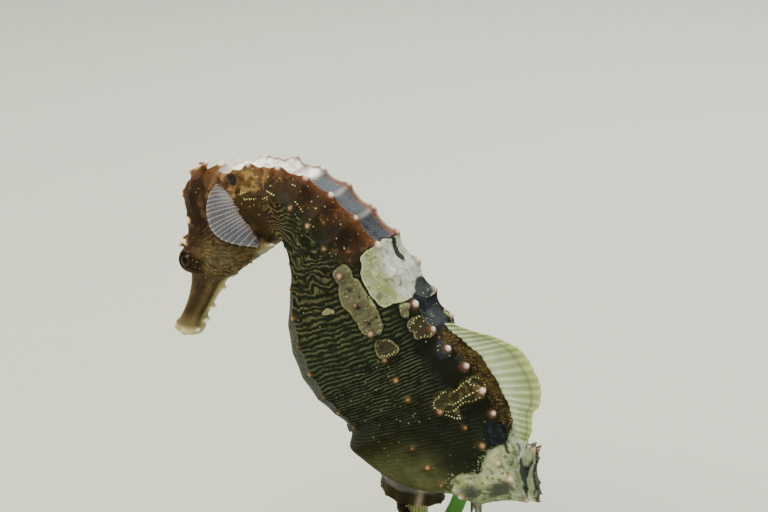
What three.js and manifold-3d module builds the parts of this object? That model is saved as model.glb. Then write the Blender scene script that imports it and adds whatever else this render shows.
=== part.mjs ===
// A lined seahorse, life size, holding a tuft of seagrass with its tail, on a plain display stand.
// Millimetres, +Z up. The animal faces -X and its midline is the plane y = 0 down to the tail base.
// The origin is at the middle of the underside of the base.
import * as THREE from "three";
import { mergeVertices } from "three/addons/utils/BufferGeometryUtils.js";
import Module from "manifold-3d";

const wasm = await Module();
wasm.setup();

const GAP = 0.3; // clearance between neighbouring solids
const V = (x, y, z) => new THREE.Vector3(x, y, z);

// --- Body stations -------------------------------------------------------------------------
// q counts body rings: below 0 the head, 1 to 11 the trunk, from 12 the tail.
// Each station is a section across the body: its dorsal point and its ventral point on the
// midline as [x, z], and its half width.
const LAST_TRUNK_RING = 11;
const TAIL_RINGS = 36;
const TIP = LAST_TRUNK_RING + TAIL_RINGS;
const STATIONS = [
  { q: -8.0, dorsal: [-39.3, 54.3], ventral: [-33.5, 53.7], width: 2.9 }, // lips
  { q: -7.2, dorsal: [-37.6, 57.3], ventral: [-32.1, 57.6], width: 2.5 },
  { q: -6.4, dorsal: [-36.2, 60.6], ventral: [-30.0, 61.2], width: 2.4 }, // snout
  { q: -5.6, dorsal: [-35.4, 63.8], ventral: [-27.6, 65.2], width: 2.9 },
  { q: -4.8, dorsal: [-35.2, 66.5], ventral: [-24.9, 67.4], width: 3.8 },
  { q: -4.0, dorsal: [-35.3, 69.7], ventral: [-21.8, 69.9], width: 4.6 }, // eyes
  { q: -3.0, dorsal: [-35.7, 74.2], ventral: [-18.9, 71.9], width: 5.1 },
  { q: -2.0, dorsal: [-36.5, 80.6], ventral: [-17.0, 73.6], width: 5.1 }, // cheeks
  { q: -1.5, dorsal: [-36.2, 83.6], ventral: [-16.6, 74.1], width: 5.0 }, // brow
  { q: -1.0, dorsal: [-33.9, 86.2], ventral: [-16.2, 74.6], width: 5.1 },
  { q: 0.0, dorsal: [-26.6, 88.4], ventral: [-15.5, 75.2], width: 5.6 }, // nape
  { q: 1.0, dorsal: [-20.1, 90.2], ventral: [-14.7, 75.2], width: 6.2 },
  { q: 2.0, dorsal: [-13.8, 90.4], ventral: [-13.6, 74.4], width: 6.6 },
  { q: 3.0, dorsal: [-8.0, 89.2], ventral: [-12.8, 72.3], width: 6.9 },
  { q: 4.0, dorsal: [-2.7, 86.6], ventral: [-12.7, 68.7], width: 7.3 },
  { q: 5.0, dorsal: [2.5, 82.9], ventral: [-13.4, 63.8], width: 7.8 },
  { q: 6.0, dorsal: [7.3, 78.4], ventral: [-14.0, 57.9], width: 8.4 },
  { q: 7.0, dorsal: [11.5, 73.2], ventral: [-13.1, 52.3], width: 8.8 },
  { q: 8.0, dorsal: [15.2, 68.0], ventral: [-10.9, 47.3], width: 8.9 },
  { q: 9.0, dorsal: [18.6, 63.3], ventral: [-7.6, 43.4], width: 8.6 },
  { q: 10.0, dorsal: [21.6, 59.9], ventral: [-4.0, 41.1], width: 8.3 },
  { q: 11.0, dorsal: [25.1, 56.8], ventral: [-0.4, 38.9], width: 7.9 }, // vent
  { q: 12.0, dorsal: [28.4, 52.4], ventral: [0.2, 35.4], width: 7.4 }, // brood pouch
  { q: 13.0, dorsal: [31.2, 48.4], ventral: [2.8, 32.5], width: 7.0 },
  { q: 14.0, dorsal: [33.9, 44.8], ventral: [7.8, 30.0], width: 6.6 },
  { q: 15.0, dorsal: [36.0, 41.2], ventral: [14.4, 28.8], width: 6.2 },
];

// The tail leaves the midline in a short bend, runs behind the pouch and winds down round the
// seagrass. Each turn of the coil gives the angle round its axis in degrees, the distance from
// the axis and the height.
const BEND = [
  { q: 16, at: [29.0, 0.1, 34.0], dorsal: [0.87, 0, 0.49], left: [0.09, -0.98, -0.15] },
  { q: 17, at: [31.2, 2.2, 32.9], dorsal: [0.94, -0.08, 0.3], left: [0.21, -0.71, -0.67] },
  { q: 18, at: [31.7, 5.5, 32.1], dorsal: [0.97, 0.08, 0.16], left: [0.15, -0.34, -0.92] },
];
const RUN_START = 19; // ring at the first point of the run
const RUN = [
  [31.1, 9.1, 31.4],
  [28.3, 12.9, 30.8],
  [24.2, 16.4, 30.1],
  [17.6, 18.2, 29.3],
];
const COIL_AXIS = [9.4, 10.1];
const COIL_TURN = 25; // direction of angle 0, anticlockwise from +X, in degrees
const COIL = [
  { angle: 70, radius: 7.6, height: 28.20 },
  { angle: 105, radius: 6.8, height: 27.40 },
  { angle: 140, radius: 6.0, height: 26.50 },
  { angle: 180, radius: 5.3, height: 25.50 },
  { angle: 225, radius: 4.9, height: 24.60 },
  { angle: 270, radius: 4.7, height: 23.90 },
  { angle: 315, radius: 4.4, height: 23.20 },
  { angle: 360, radius: 4.1, height: 22.50 },
  { angle: 420, radius: 3.8, height: 21.50 },
  { angle: 480, radius: 3.5, height: 20.50 },
  { angle: 540, radius: 3.3, height: 19.50 },
  { angle: 600, radius: 3.2, height: 18.50 },
];
const TAPER = 1.32; // how much the rings shorten towards the tip
const TAIL_DEPTH = [
  [16, 7.9], [17, 5.6], [18, 4.9], [19, 4.4], [22, 3.6], [26, 2.9], [30, 2.3], [34, 1.8],
  [40, 1.2], [45, 0.7], [47, 0.4],
];
const TAIL_WIDTH = [
  [16, 5.7], [17, 5.1], [18, 4.6], [19, 4.3], [22, 3.6], [26, 2.9], [30, 2.3], [34, 1.8],
  [40, 1.1], [45, 0.7], [47, 0.4],
];

// --- Section shapes ------------------------------------------------------------------------
// Half a section runs from the dorsal midline M over the upper ridge S, the side ridge L and
// the lower ridge I to the keel K. Each point is [depth, width] as a share of the half depth
// and the half width, and bow says how far the four faces between them stand out.
const SHAPES = [
  { q: -8, M: 1, S: [0.72, 0.7], L: [0, 1], I: [-0.72, 0.7], bow: [0.06, 0.08, 0.08, 0.06] },
  { q: -5.6, M: 1, S: [0.72, 0.7], L: [0, 1], I: [-0.72, 0.7], bow: [0.06, 0.08, 0.08, 0.06] },
  { q: -4, M: 1, S: [0.82, 0.6], L: [0.05, 1], I: [-0.7, 0.68], bow: [0.03, 0.08, 0.09, 0.06] },
  { q: -2.2, M: 1, S: [0.84, 0.42], L: [-0.08, 1], I: [-0.74, 0.62], bow: [0.03, 0.06, 0.1, 0.06] },
  { q: -0.6, M: 1, S: [0.86, 0.44], L: [0.1, 1], I: [-0.7, 0.6], bow: [0.03, 0.06, 0.08, 0.06] },
  { q: 1, M: 0.97, S: [0.97, 0.52], L: [0.36, 1], I: [-0.6, 0.68], bow: [0.0, 0.04, 0.07, 0.05] },
  { q: 4, M: 0.95, S: [0.97, 0.48], L: [0.4, 1], I: [-0.52, 0.8], bow: [-0.02, 0.04, 0.05, 0.04] },
  { q: 8, M: 0.95, S: [0.97, 0.48], L: [0.44, 1], I: [-0.55, 0.82], bow: [-0.02, 0.05, 0.06, 0.04] },
  { q: 10, M: 0.96, S: [0.97, 0.48], L: [0.33, 1], I: [-0.64, 0.74], bow: [-0.02, 0.05, 0.07, 0.05] },
  { q: 11, M: 0.97, S: [0.97, 0.5], L: [0.24, 1], I: [-0.72, 0.6], bow: [-0.01, 0.06, 0.1, 0.08] },
  { q: 12, M: 0.98, S: [0.96, 0.52], L: [0.5, 0.98], I: [-0.28, 1], bow: [0, 0.04, 0.04, 0.2] },
  { q: 13, M: 0.99, S: [0.95, 0.5], L: [0.64, 0.96], I: [-0.04, 1], bow: [0, 0.04, 0.02, 0.2] },
  { q: 14, M: 0.97, S: [0.93, 0.5], L: [0.66, 0.95], I: [-0.1, 1], bow: [0, 0.04, 0, 0.2] },
  { q: 15, M: 0.95, S: [0.93, 0.5], L: [0.68, 0.95], I: [-0.26, 1], bow: [0, 0.03, 0, 0.18] },
  { q: 16, M: 0.93, S: [0.92, 0.5], L: [0.8, 0.95], I: [-0.52, 0.96], bow: [0, 0.02, 0, 0.12] },
  { q: 17, M: 0.92, S: [0.93, 0.5], L: [0.9, 0.93], I: [-0.86, 0.92], bow: [0, 0, 0, 0.03] },
  { q: 19, M: 0.9, S: [0.92, 0.5], L: [0.92, 0.92], I: [-0.92, 0.9], bow: [0, 0, 0, 0] },
  { q: 47, M: 0.9, S: [0.9, 0.45], L: [0.8, 0.8], I: [-0.8, 0.8], bow: [0, 0, 0, 0] },
];
const RIDGE_AT = { M: 0, S: 0.2, L: 0.45, I: 0.72, K: 1 }; // u along half a section

// --- Small forms of the head and the ridges ------------------------------------------------
const KNOB = { spread: 0.17, across: 0.032 }; // a tubercle's reach in rings and along a section
const KNOB_HEIGHTS = {
  S: [[0, 0], [1, 0.9], [10, 1.2], [12, 1.5], [13, 0.7], [14, 0], [47, 0]],
  L: [[2, 0], [3, 0.7], [6, 1.0], [11, 0.9], [12, 1.2], [16, 1.2], [26, 0.7], [40, 0.2], [47, 0]],
  I: [[4, 0], [5, 0.7], [11, 0.8], [12, 0.1], [13, 0.9], [15, 0.8], [17, 0.5], [26, 0.5], [40, 0.2], [47, 0]],
};
const FIN_SEAT = { from: 8.4, to: 14.2, height: 2.9, across: 0.12 }; // raised root of the fin
const HEAD_FORMS = [
  { at: [-33.2, 4.2, 69.8], reach: 2.8, height: 1.6 }, // eye turret
  { at: [-24.0, 5.2, 76.6], reach: 4.0, height: 0.9 }, // gill cover
];
const HEAD_SPINES = [
  { at: [-33.6, 3.2, 73.2], to: [-36.1, 4.2, 73.5], radius: 1.2 }, // over the eye, foremost
  { at: [-32.6, 3.6, 73.6], to: [-34.6, 5.6, 74.2], radius: 1.1 }, // over the eye
  { at: [-34.4, 0, 77.2], to: [-36.7, 0, 77.4], radius: 1.3 }, // forehead
  { at: [-27.8, 0, 87.0], to: [-27.7, 0, 90.0], radius: 1.4 }, // nape
  { at: [-24.2, 0, 88.4], to: [-24.0, 0, 90.7], radius: 1.3 }, // nape, hind
  { at: [-18.9, 1.6, 74.8], to: [-15.2, 3.2, 75.3], radius: 1.3 }, // under the cheek
];
const SNOUT_KNOBS = [[-26.1, 66.5], [-28.5, 63.5], [-31.3, 59.0], [-32.6, 56.4]]; // on its lower edge
const EYE = { at: [-33.3, 4.0, 70.0], radius: 2.0 };
const CORONET = { at: [-33.0, 0, 84.2], lean: [-0.05, 0, 1], height: 4.5, foot: 1.8, crown: 1.7, knobs: 5 };

// --- Fins ----------------------------------------------------------------------------------
const FIN_THICKNESS = 0.6;
const FIN_LIFT = 0.65; // from the seat's crest to the middle of the fin's foot
const DORSAL_FIN = {
  rays: 18,
  from: 8.7,
  to: 14.6,
  length: [[8.7, 1.6], [9.2, 3.4], [10.2, 5.3], [10.9, 6.5], [11.5, 7.3], [12, 7.3], [12.5, 6.8],
    [12.9, 5.6], [13.25, 3.8], [13.8, 3.1], [14.2, 2.6], [14.6, 1.2]],
  lean: [[8.7, 2], [9.5, 11], [10.9, 19], [11.5, 17], [12, 12], [12.5, 8], [12.9, 0], [14.6, -6]],
};
const PECTORAL_FIN = {
  rays: 16,
  foot: [[-25.9, 5.0, 85.8], [-21.6, 6.6, 85.0], [-18.9, 6.6, 81.5], [-17.9, 6.0, 78.4], [-18.3, 4.6, 75.2]],
  edge: [[-26.9, 4.9, 86.3], [-28.9, 5.3, 83.3], [-28.8, 5.9, 80.6], [-27.7, 6.6, 78.1],
    [-25.6, 7.1, 76.1], [-23.3, 6.8, 74.9], [-20.6, 5.6, 74.3], [-18.8, 4.6, 74.3]],
};
const ANAL_FIN = {
  rays: 4,
  foot: [[-1.2, 0, 39.4], [-0.7, 0, 38.2]],
  edge: [[-2.5, 0.2, 38.6], [-1.7, 0.2, 36.8]],
};

// --- Seagrass and stand --------------------------------------------------------------------
const GRASS = {
  foot: 12.0,
  top: 30.5,
  radius: 2.4,
  lean: [-0.42, 0.91], // the way the shoot leans, away from the pouch
  blades: [
    { side: 0.0, rise: 23, back: 6.5, spread: 1.0, width: 4.2 },
    { side: -1.7, rise: 20, back: 5.0, spread: -4.0, width: 3.6 },
    { side: 1.7, rise: 18, back: 4.5, spread: 4.6, width: 3.4 },
  ],
  bladeThickness: 0.8,
};
const LOW_BLADE = [[4.6, 13.2], [6.4, 16.6], [8.2, 20.6], [9.4, 25.0]]; // out from the axis, height
// The base is an oval; its moulded edge is given as [inset, height] from the floor up.
const BASE = {
  x: 40,
  y: 25,
  edge: [[0.7, 0], [0, 0.8], [0, 2], [0.9, 2.75], [1.3, 3.7], [2.4, 4.8], [4, 5]],
};
const BASE_TOP = BASE.edge.at(-1)[1];
const ROD_RADIUS = 1.1;
const BODY_ROD = { at: [26.5, -0.4], top: 27.9 };

// --- Interpolation -------------------------------------------------------------------------
// A smooth curve through values at uneven places: cubic pieces with finite-difference slopes.
function along(places, values, at) {
  const n = places.length;
  if (at <= places[0]) return values[0];
  if (at >= places[n - 1]) return values[n - 1];
  let i = 0;
  while (places[i + 1] < at) i++;
  const slope = (k) => {
    const a = Math.max(k - 1, 0);
    const b = Math.min(k + 1, n - 1);
    return (values[b] - values[a]) / (places[b] - places[a]);
  };
  const span = places[i + 1] - places[i];
  const t = (at - places[i]) / span;
  const rise = values[i + 1] - values[i];
  const s0 = slope(i) * span;
  const s1 = slope(i + 1) * span;
  return values[i] + t * (s0 + t * (3 * rise - 2 * s0 - s1 + t * (s0 + s1 - 2 * rise)));
}
const table = (pairs, at) => along(pairs.map((p) => p[0]), pairs.map((p) => p[1]), at);
const field = (rows, name, at) => along(rows.map((r) => r.q), rows.map((r) => r[name]), at);

// --- Body line -----------------------------------------------------------------------------
function coilPoint({ angle, radius, height }) {
  const way = THREE.MathUtils.degToRad(angle + COIL_TURN);
  const [x, y] = COIL_AXIS;
  return V(x + radius * Math.cos(way), y + radius * Math.sin(way), height);
}

// The run and the coil as one smooth path. Ring q sits at the share of its length that the
// shortening rings leave, and the back of the tail faces out of the curve.
function pathStations() {
  const keys = [...RUN.map((p) => V(...p)), ...COIL.map((c) => coilPoint(c))];
  const chords = [0];
  for (let i = 1; i < keys.length; i++) chords.push(chords[i - 1] + keys[i].distanceTo(keys[i - 1]));
  const at = (c) => V(...["x", "y", "z"].map((axis) => along(chords, keys.map((k) => k[axis]), c)));
  const made = [];
  const count = TIP - RUN_START;
  for (let ring = RUN_START; ring <= TIP; ring++) {
    const c = chords.at(-1) * (1 - Math.pow(1 - (ring - RUN_START) / count, TAPER));
    const way = at(Math.min(c + 0.1, chords.at(-1))).sub(at(Math.max(c - 0.1, 0)));
    const dorsal = V(way.y, -way.x, 0).normalize();
    made.push({ q: ring, at: at(c), dorsal, left: way.cross(dorsal).normalize() });
  }
  return made;
}

const LINE = [
  ...STATIONS.map((s) => {
    const d = V(s.dorsal[0], 0, s.dorsal[1]);
    const v = V(s.ventral[0], 0, s.ventral[1]);
    const at = d.clone().add(v).multiplyScalar(0.5);
    return { q: s.q, at, dorsal: d.clone().sub(v).normalize(), left: V(0, -1, 0) };
  }),
  ...BEND.map((b) => ({ q: b.q, at: V(...b.at), dorsal: V(...b.dorsal), left: V(...b.left) })),
  ...pathStations(),
];
const DEPTH = [
  ...STATIONS.map((s) => [s.q, Math.hypot(s.dorsal[0] - s.ventral[0], s.dorsal[1] - s.ventral[1]) / 2]),
  ...TAIL_DEPTH,
];
const WIDTH = [...STATIONS.map((s) => [s.q, s.width]), ...TAIL_WIDTH];

// A section's frame: centre, dorsal and left directions, normal, half depth and half width.
const LINE_PLACES = LINE.map((s) => s.q);
function frameAt(q) {
  const part = (name) =>
    V(...["x", "y", "z"].map((axis) => along(LINE_PLACES, LINE.map((s) => s[name][axis]), q)));
  const dorsal = part("dorsal").normalize();
  const normal = dorsal.clone().cross(part("left")).normalize();
  return {
    at: part("at"),
    dorsal,
    left: normal.clone().cross(dorsal),
    normal,
    depth: table(DEPTH, q),
    width: table(WIDTH, q),
  };
}

// The outline of a section at u from 0 (dorsal midline) to 1 (keel), as [depth, width] shares.
function outline(q, u) {
  const pair = (name, k) => along(SHAPES.map((s) => s.q), SHAPES.map((s) => s[name][k]), q);
  const knots = [
    [0, [field(SHAPES, "M", q), 0]],
    [RIDGE_AT.S, [pair("S", 0), pair("S", 1)]],
    [RIDGE_AT.L, [pair("L", 0), pair("L", 1)]],
    [RIDGE_AT.I, [pair("I", 0), pair("I", 1)]],
    [RIDGE_AT.K, [-1, 0]],
  ];
  let i = 0;
  while (i < 3 && u > knots[i + 1][0]) i++;
  const [u0, p] = knots[i];
  const [u1, r] = knots[i + 1];
  const t = (u - u0) / (u1 - u0);
  const bow = 4 * t * (1 - t) * pair("bow", i);
  const across = [-(r[1] - p[1]), r[0] - p[0]].map((x) => -x); // outward normal of the chord
  return [p[0] + (r[0] - p[0]) * t + bow * across[0], p[1] + (r[1] - p[1]) * t + bow * across[1]];
}

const bell = (x, reach) => Math.exp(-((x / reach) ** 2));

// How far the skin stands out from the plain section at ring q and place u, in millimetres.
function relief(q, u, point) {
  let out = 0;
  const ring = Math.round(q);
  for (const ridge of ["S", "L", "I"]) {
    const high = table(KNOB_HEIGHTS[ridge], ring);
    if (high > 0 && q > 0.5) {
      out += high * bell(q - ring, KNOB.spread) * bell(u - RIDGE_AT[ridge], KNOB.across);
    }
  }
  if (q > FIN_SEAT.from && q < FIN_SEAT.to) {
    const share = (q - FIN_SEAT.from) / (FIN_SEAT.to - FIN_SEAT.from);
    out += FIN_SEAT.height * Math.sin(Math.PI * share) ** 0.7 * bell(u, FIN_SEAT.across);
  }
  if (q < 1.5) {
    for (const form of HEAD_FORMS) {
      const off = Math.hypot(
        point.x - form.at[0],
        Math.abs(point.y) - form.at[1],
        point.z - form.at[2],
      );
      out += form.height * bell(off, form.reach);
    }
    for (const [x, z] of SNOUT_KNOBS) {
      out += 0.8 * bell(Math.hypot(point.x - x, Math.abs(point.y) - 0.7, point.z - z), 0.8);
    }
  }
  return out;
}

// A point of the skin. side is +1 for the animal's left and -1 for its right.
function skin(frame, q, u, side) {
  const [a, b] = outline(q, u);
  const off = frame.dorsal.clone().multiplyScalar(a * frame.depth);
  off.addScaledVector(frame.left, side * b * frame.width);
  const point = frame.at.clone().add(off);
  const lift = relief(q, u, point);
  return point.addScaledVector(off.normalize(), lift);
}

// --- Mesh helpers --------------------------------------------------------------------------
function geometryOf(points, faces) {
  const geometry = new THREE.BufferGeometry();
  geometry.setAttribute(
    "position",
    new THREE.Float32BufferAttribute(points.flatMap((p) => [p.x, p.y, p.z]), 3),
  );
  geometry.setIndex(faces.flat());
  let volume = 0;
  for (const [i, j, k] of faces) {
    volume += points[i].dot(points[j].clone().cross(points[k]));
  }
  if (volume < 0) {
    geometry.setIndex(faces.flatMap(([i, j, k]) => [i, k, j]));
  }
  return geometry;
}

// A closed solid through rows of points that all have the same count, capped at both ends.
function loft(rows) {
  const n = rows[0].length;
  const points = rows.flat();
  const faces = [];
  for (let i = 0; i + 1 < rows.length; i++) {
    for (let j = 0; j < n; j++) {
      const a = i * n + j;
      const b = i * n + ((j + 1) % n);
      faces.push([a, b, b + n], [a, b + n, a + n]);
    }
  }
  for (const [row, start, turn] of [[rows[0], 0, false], [rows.at(-1), (rows.length - 1) * n, true]]) {
    const middle = row.reduce((sum, p) => sum.add(p), V(0, 0, 0)).multiplyScalar(1 / n);
    points.push(middle);
    for (let j = 0; j < n; j++) {
      const a = start + j;
      const b = start + ((j + 1) % n);
      faces.push(turn ? [a, b, points.length - 1] : [b, a, points.length - 1]);
    }
  }
  return geometryOf(points, faces);
}

function solidOf(geometry) {
  const plain = geometry.clone();
  plain.deleteAttribute("normal");
  plain.deleteAttribute("uv");
  const merged = mergeVertices(plain, 1e-4);
  return new wasm.Manifold(
    new wasm.Mesh({
      numProp: 3,
      vertProperties: merged.attributes.position.array,
      triVerts: new Uint32Array(merged.index.array),
    }),
  );
}

function geometryFrom(solid) {
  const mesh = solid.getMesh();
  const geometry = new THREE.BufferGeometry();
  geometry.setAttribute("position", new THREE.BufferAttribute(mesh.vertProperties, 3));
  geometry.setIndex(new THREE.BufferAttribute(mesh.triVerts, 1));
  return geometry;
}

const cut = (geometry, ...tools) =>
  geometryFrom(tools.reduce((solid, tool) => solid.subtract(solidOf(tool)), solidOf(geometry)));
const join = (geometry, ...more) =>
  geometryFrom(more.reduce((solid, other) => solid.add(solidOf(other)), solidOf(geometry)));

// --- Body lengths --------------------------------------------------------------------------
const HALF = [0, 0.1, 0.17, 0.2, 0.23, 0.325, 0.42, 0.45, 0.48, 0.585, 0.69, 0.72, 0.75, 1];
const HALF_PLAIN = [0, 0.2, 0.45, 0.72, 1];

const rounded = (places) => [
  ...places.map((u) => [u, 1]),
  ...places.slice(1, -1).reverse().map((u) => [u, -1]),
];

// Rows of a body length: its two ends, moved in by half the gap, and the places between them.
function bodyRows(from, to, places, between, ends = [GAP / 2, GAP / 2]) {
  const list = [from, ...between.filter((q) => q > from + 0.08 && q < to - 0.08), to];
  return list.map((q, i) => {
    const frame = frameAt(q);
    const shift = i === 0 ? ends[0] : i === list.length - 1 ? -ends[1] : 0;
    return rounded(places).map(([u, side]) =>
      skin(frame, q, u, side).addScaledVector(frame.normal, shift),
    );
  });
}

const range = (from, to, step) => {
  const made = [];
  for (let x = from; x <= to + 1e-9; x += step) made.push(x);
  return made;
};
const RING_ROWS = range(0, 17, 1).flatMap((k) => [k - 0.2, k, k + 0.2]);
const HEAD_ROWS = range(-8, 0.6, 0.4);
const COIL_ROWS = range(16, TIP, 1).flatMap((k) => (k < 30 ? [k, k + 0.5] : [k]));

const root = new THREE.Group();
function add(name, geometry, color, roughness = 0.6, metalness = 0) {
  const material = new THREE.MeshStandardMaterial({ color, roughness, metalness });
  const mesh = new THREE.Mesh(geometry, material);
  mesh.name = name;
  root.add(mesh);
  return mesh;
}

const SKIN = 0x4a3527;
const PALE = 0xa8b08c;

const mirrored = (points) => points.map(([x, y, z]) => [x, -y, z]);

// A thin ribbed sheet over a surface of two shares: along the foot and out to the edge.
function sheet(surface, rays, thickness = FIN_THICKNESS) {
  const across = 2 * rays;
  const out = 2;
  const rows = [];
  for (let i = 0; i <= across; i++) {
    const s = i / across;
    const half = (thickness / 2) * (i % 2 ? 0.85 : 1.1);
    const loop = [];
    for (const face of [1, -1]) {
      for (let k = 0; k <= out; k++) {
        const t = face > 0 ? k / out : 1 - k / out;
        const a = surface(Math.min(s + 0.01, 1), t).sub(surface(Math.max(s - 0.01, 0), t));
        const b = surface(s, Math.min(t + 0.01, 1)).sub(surface(s, Math.max(t - 0.01, 0)));
        const normal = a.cross(b).normalize();
        loop.push(surface(s, t).addScaledVector(normal, face * half * (1 - 0.2 * t)));
      }
    }
    rows.push(loop);
  }
  return loft(rows);
}

const curve = (points) => {
  const places = points.map((_, i) => i / (points.length - 1));
  const part = (k) => points.map((p) => p[k]);
  return (s) => V(along(places, part(0), s), along(places, part(1), s), along(places, part(2), s));
};

function fan({ foot, edge, rays }, bow) {
  const from = curve(foot);
  const to = curve(edge);
  return sheet((s, t) => {
    const point = from(s).lerp(to(s), t);
    point.y += bow * Math.sin(Math.PI * t) * Math.sin(Math.PI * s);
    return point;
  }, rays);
}

function dorsalFin() {
  const { from, to, length, lean, rays } = DORSAL_FIN;
  return sheet((s, t) => {
    const q = from + (to - from) * s;
    const frame = frameAt(q);
    const foot = skin(frame, q, 0, 1).addScaledVector(frame.dorsal, FIN_LIFT);
    const angle = THREE.MathUtils.degToRad(table(lean, q));
    const way = V(Math.cos(angle), 0.12 * Math.sin(4 * s), Math.sin(angle));
    return foot.addScaledVector(way, table(length, q) * t);
  }, rays);
}

// The coronet: a low column that widens upwards to a ring of knobs round a hollow.
function coronet(extra) {
  const { at, lean, height, foot, crown, knobs } = CORONET;
  const axis = V(...lean).normalize();
  const back = V(0, 1, 0).cross(axis).normalize();
  const levels = extra
    ? [[-extra, foot + extra], [height * 0.5, foot + extra + 0.1], [height * 1.6, crown + extra + 0.6]]
    : [[0, foot], [height * 0.5, foot * 0.96], [height * 0.8, crown * 0.94], [height, crown],
      [height * 0.98, crown * 0.62], [height * 0.86, crown * 0.3]];
  return loft(
    levels.map(([up, radius], level) =>
      range(0, 4 * knobs - 1, 1).map((k) => {
        const turn = (2 * Math.PI * k) / (4 * knobs);
        const lobe = extra || level < 2 || level > 3 ? 0 : 0.5 + 0.5 * Math.cos(knobs * turn);
        const point = V(...at).addScaledVector(axis, up + (level > 2 ? 0.7 * lobe : 0));
        point.addScaledVector(back, (radius + 0.45 * lobe) * Math.cos(turn));
        return point.addScaledVector(V(0, 1, 0), (radius + 0.45 * lobe) * Math.sin(turn));
      }),
    ),
  );
}

function ball(radius, at) {
  return new THREE.SphereGeometry(radius, 12, 9).translate(...at);
}

function rod(radius, x, y, bottom, top) {
  const geometry = new THREE.CylinderGeometry(radius, radius, top - bottom, 16);
  return geometry.rotateX(Math.PI / 2).translate(x, y, (top + bottom) / 2);
}

function ring(middle, a, b, sides) {
  return range(0, sides - 1, 1).map((k) => {
    const turn = (2 * Math.PI * k) / sides;
    return V(middle[0] + a * Math.cos(turn), middle[1] + b * Math.sin(turn), middle[2]);
  });
}

function standBase() {
  return loft(BASE.edge.map(([inset, z]) => ring([0, 0, z], BASE.x - inset, BASE.y - inset, 40)));
}

function sheath() {
  const { foot, top, radius } = GRASS;
  const levels = [0, 0.3, 0.6, 0.85, 1];
  return loft(
    levels.map((t) => {
      const wide = radius * (1 - 0.12 * t);
      return ring([...COIL_AXIS, foot + (top - foot) * t], wide, wide * 0.96, 20);
    }),
  );
}

// A strip along a curve of points, flat across the given direction.
function strip(points, across, width, thickness) {
  const path = curve(points);
  const wide = V(...across).normalize();
  return loft(
    range(0, 1, 0.125).map((t) => {
      const way = path(Math.min(t + 0.02, 1)).sub(path(Math.max(t - 0.02, 0))).normalize();
      const thick = way.clone().cross(wide).normalize();
      const half = (width / 2) * (1 - 0.25 * t);
      return [[1, 0.6], [0, 1], [-1, 0.6], [-1, -0.6], [0, -1], [1, -0.6]].map(([a, b]) =>
        path(t).addScaledVector(wide, a * half).addScaledVector(thick, (b * thickness) / 2),
      );
    }),
  );
}

function blade({ side, rise, back, spread, width }) {
  const [bx, by] = GRASS.lean;
  const points = [0, 0.5, 1].map((t) => {
    const over = spread * t * t + side;
    const away = back * t ** 1.4 + Math.abs(side) * 0.7;
    return [
      COIL_AXIS[0] + bx * away + by * over,
      COIL_AXIS[1] + by * away - bx * over,
      GRASS.top + GAP + 0.2 + rise * t,
    ];
  });
  return strip(points, [by, -bx, 0], width, GRASS.bladeThickness);
}

function lowBlade() {
  const [bx, by] = GRASS.lean;
  const points = LOW_BLADE.map(([out, z]) => [COIL_AXIS[0] + by * out, COIL_AXIS[1] - bx * out, z]);
  return strip(points, [by, -bx, 0], 4.0, GRASS.bladeThickness);
}

// A blunt cone from inside the head to the spine's tip.
function spine({ at, to, radius }, side) {
  const foot = V(at[0], side * at[1], at[2]);
  const tip = V(to[0], side * to[1], to[2]);
  const axis = tip.clone().sub(foot).normalize();
  const a = V(0, 1, 0).cross(axis).normalize();
  const b = axis.clone().cross(a);
  return loft(
    [[0, 1], [0.6, 0.62], [0.92, 0.34], [1, 0.16]].map(([t, wide]) =>
      range(0, 7, 1).map((k) => {
        const turn = (Math.PI * k) / 4;
        const middle = foot.clone().lerp(tip, t);
        middle.addScaledVector(a, radius * wide * Math.cos(turn));
        return middle.addScaledVector(b, radius * wide * Math.sin(turn));
      }),
    ),
  );
}

const eyeAt = (side) => [EYE.at[0], side * EYE.at[1], EYE.at[2]];
const sockets = [1, -1].map((side) => ball(EYE.radius + GAP, eyeAt(side)));

add("snout", loft(bodyRows(-8, -5.5, HALF, HEAD_ROWS, [0, GAP / 2])), 0x6e5436);
const spines = HEAD_SPINES.flatMap((form) => (form.at[1] ? [spine(form, 1), spine(form, -1)] : spine(form, 1)));
const skull = join(loft(bodyRows(-5.5, 0.5, HALF, HEAD_ROWS)), ...spines);
add("head", cut(skull, ...sockets, coronet(GAP)), SKIN);
add("coronet", coronet(0), 0x8a4a2c);
add("eye_left", ball(EYE.radius, eyeAt(-1)), 0x14110f, 0.15);
add("eye_right", ball(EYE.radius, eyeAt(1)), 0x14110f, 0.15);
add("neck", loft(bodyRows(0.5, 3.5, HALF, RING_ROWS)), SKIN);
add("trunk_upper", loft(bodyRows(3.5, 7.5, HALF, RING_ROWS)), SKIN);
add("trunk_lower", loft(bodyRows(7.5, 11.5, HALF, RING_ROWS)), SKIN);
add("tail_base", loft(bodyRows(11.5, 17.5, HALF, RING_ROWS)), PALE);
add("tail_bend", loft(bodyRows(17.5, 22.5, HALF_PLAIN, COIL_ROWS)), SKIN);
add("tail_coil_1", loft(bodyRows(22.5, 29.5, HALF_PLAIN, COIL_ROWS)), SKIN);
add("tail_coil_2", loft(bodyRows(29.5, 36.5, HALF_PLAIN, COIL_ROWS)), SKIN);
add("tail_coil_3", loft(bodyRows(36.5, 42.5, HALF_PLAIN, COIL_ROWS)), SKIN);
add("tail_tip", loft(bodyRows(42.5, TIP, HALF_PLAIN, COIL_ROWS, [GAP / 2, 0])), SKIN);
add("dorsal_fin", dorsalFin(), PALE);
add("anal_fin", fan(ANAL_FIN, 0), PALE);
add("pectoral_fin_right", fan(PECTORAL_FIN, 0.35), 0xb9b3a4);
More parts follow.
